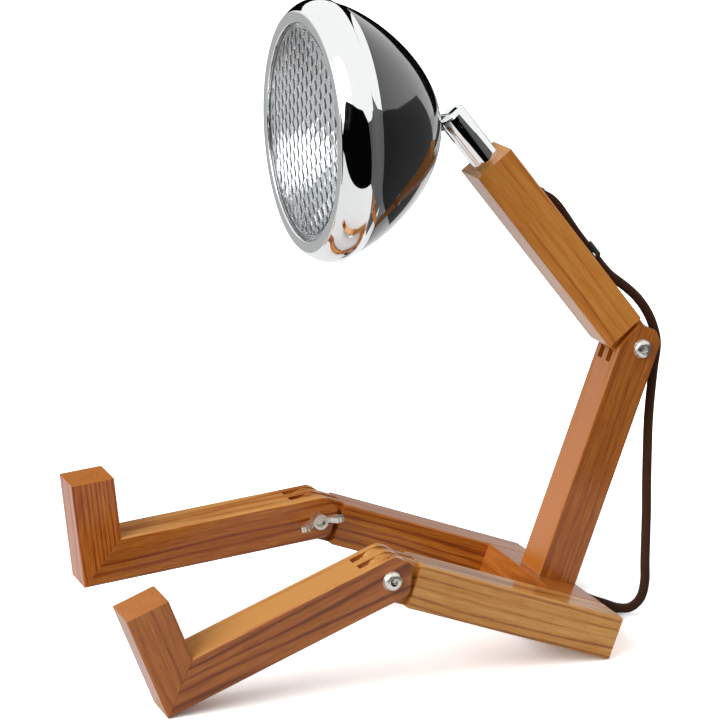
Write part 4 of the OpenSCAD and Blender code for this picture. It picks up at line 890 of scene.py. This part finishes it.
# Grey where it lights the lamp, chalk in the mirrors, and chalk laid on twice to the eye
paint, tree = new_finish("table_paint")
to_eye, mirrored = ray_kinds(tree)
grey, chalk = (
    add(tree, "ShaderNodeBsdfDiffuse", Color=(shade, shade, shade, 1)).outputs[0]
    for shade in (table_grey, table_chalk))
twice = add(tree, "ShaderNodeAddShader", _0=chalk, _1=chalk)
unseen = add(tree, "ShaderNodeMixShader", _0=mirrored, _1=grey, _2=chalk)
skin = add(tree, "ShaderNodeMixShader", _0=to_eye, _1=unseen.outputs[0],
           _2=twice.outputs[0])
add(tree, "ShaderNodeOutputMaterial", Surface=skin.outputs[0])
table_mesh.materials.append(paint)

card_paint = {}
for name, shade in {"black": 0.002, "dark": 0.1, "grey": 0.5}.items():
    card_paint[name], tree = new_finish(name + "_card")
    matt = add(tree, "ShaderNodeBsdfDiffuse", Color=(shade, shade, shade, 1))
    add(tree, "ShaderNodeOutputMaterial", Surface=matt.outputs[0])
cards = {
    # name, with the paint as its first word: stations along it, each its foot and its top
    "black_in_front": [
        ((-3.0, -0.42, 0), (-3.4, -1.7, 1.98)), ((-1.0, -0.42, 0), (-1.6, -1.6, 1.45)),
        ((-0.3, -0.42, 0), (-0.5, -1.6, 1.13)), ((0.0, -0.42, 0), (0.1, -1.6, 1.05)),
        ((0.25, -0.42, 0), (0.6, -1.6, 0.74)),
    ],
    "dark_on_right": [
        ((0.25, -0.42, 0), (0.6, -1.6, 0.74)), ((0.28, -0.3, 0), (1.05, -1.6, 0.8)),
        ((0.3, -0.2, 0), (1.5, -1.3, 0.95)), ((0.31, -0.05, 0), (1.8, -0.32, 0.7)),
        ((0.32, 0.3, 0), (1.75, 0.53, 0.66)),
    ],
    "black_behind": [
        ((-0.25, 0.95, 0.36), (-0.25, 0.95, 0.72)), ((0.3, 0.95, 0.3), (0.3, 0.95, 0.72)),
        ((0.9, 0.8, 0.26), (0.9, 0.8, 0.7)), ((1.2, 0.8, 0.24), (1.2, 0.8, 0.5)),
    ],
    "grey_behind": [
        ((-0.25, 0.95, 0), (-0.25, 0.95, 0.36)), ((0.3, 0.95, 0), (0.3, 0.95, 0.3)),
        ((0.9, 0.8, 0), (0.9, 0.8, 0.26)),
    ],
    "grey_beyond": [((-1.6, 0.5, 0), (-1.6, 7.9, 0)), ((-0.15, 0.5, 0), (-0.15, 7.9, 0))],
}
for name, stations in cards.items():
    sheet = bpy.data.meshes.new(name)
    sheet.from_pydata(
        [corner for station in stations for corner in station], [],
        [(2 * k, 2 * k + 2, 2 * k + 3, 2 * k + 1) for k in range(len(stations) - 1)])
    sheet.materials.append(card_paint[name.split("_")[0]])
    card = new_piece(name, sheet)
    for unseen_by in ("camera", "diffuse", "shadow", "transmission"):
        setattr(card, "visible_" + unseen_by, False)


def aimed(light, direction):
    """The light's own object, shining in the direction."""
    stand = new_piece(light.name, light)
    stand.rotation_euler = Vector(direction).to_track_quat("-Z", "Y").to_euler()
    return stand


sun = bpy.data.lights.new("soft_sun", "SUN")
sun.energy = 2.3
sun.angle = math.radians(50)
aimed(sun, (0.8, 0.32, -0.5))

box_glow = 2.2      # radiance, where 1 is white
box = bpy.data.lights.new("soft_box", "AREA")
box.shape = "RECTANGLE"
box.size, box.size_y = 1.6, 0.9
box.energy = box_glow * math.pi * box.size * box.size_y
box_stand = aimed(box, (-1.9, -0.4, -1.05))
box_stand.location = (1.9, 0.4, 1.35)
box_stand.visible_glossy = False

world = bpy.data.worlds.new("studio")
bpy.context.scene.world = world
world.use_nodes = True
tree = world.node_tree
tree.nodes.clear()
to_eye, mirrored = ray_kinds(tree)
seen = add(tree, "ShaderNodeMath", {"operation": "MAXIMUM"}, _0=to_eye, _1=mirrored)
strength = add(tree, "ShaderNodeMapRange", Value=seen.outputs[0], To_Min=sky_light,
               To_Max=sky_seen)
sky = add(tree, "ShaderNodeBackground", Color=(1, 1, 1, 1),
          Strength=strength.outputs["Result"])
add(tree, "ShaderNodeOutputWorld", Surface=sky.outputs[0])
bpy.context.scene.view_settings.view_transform = "Standard"
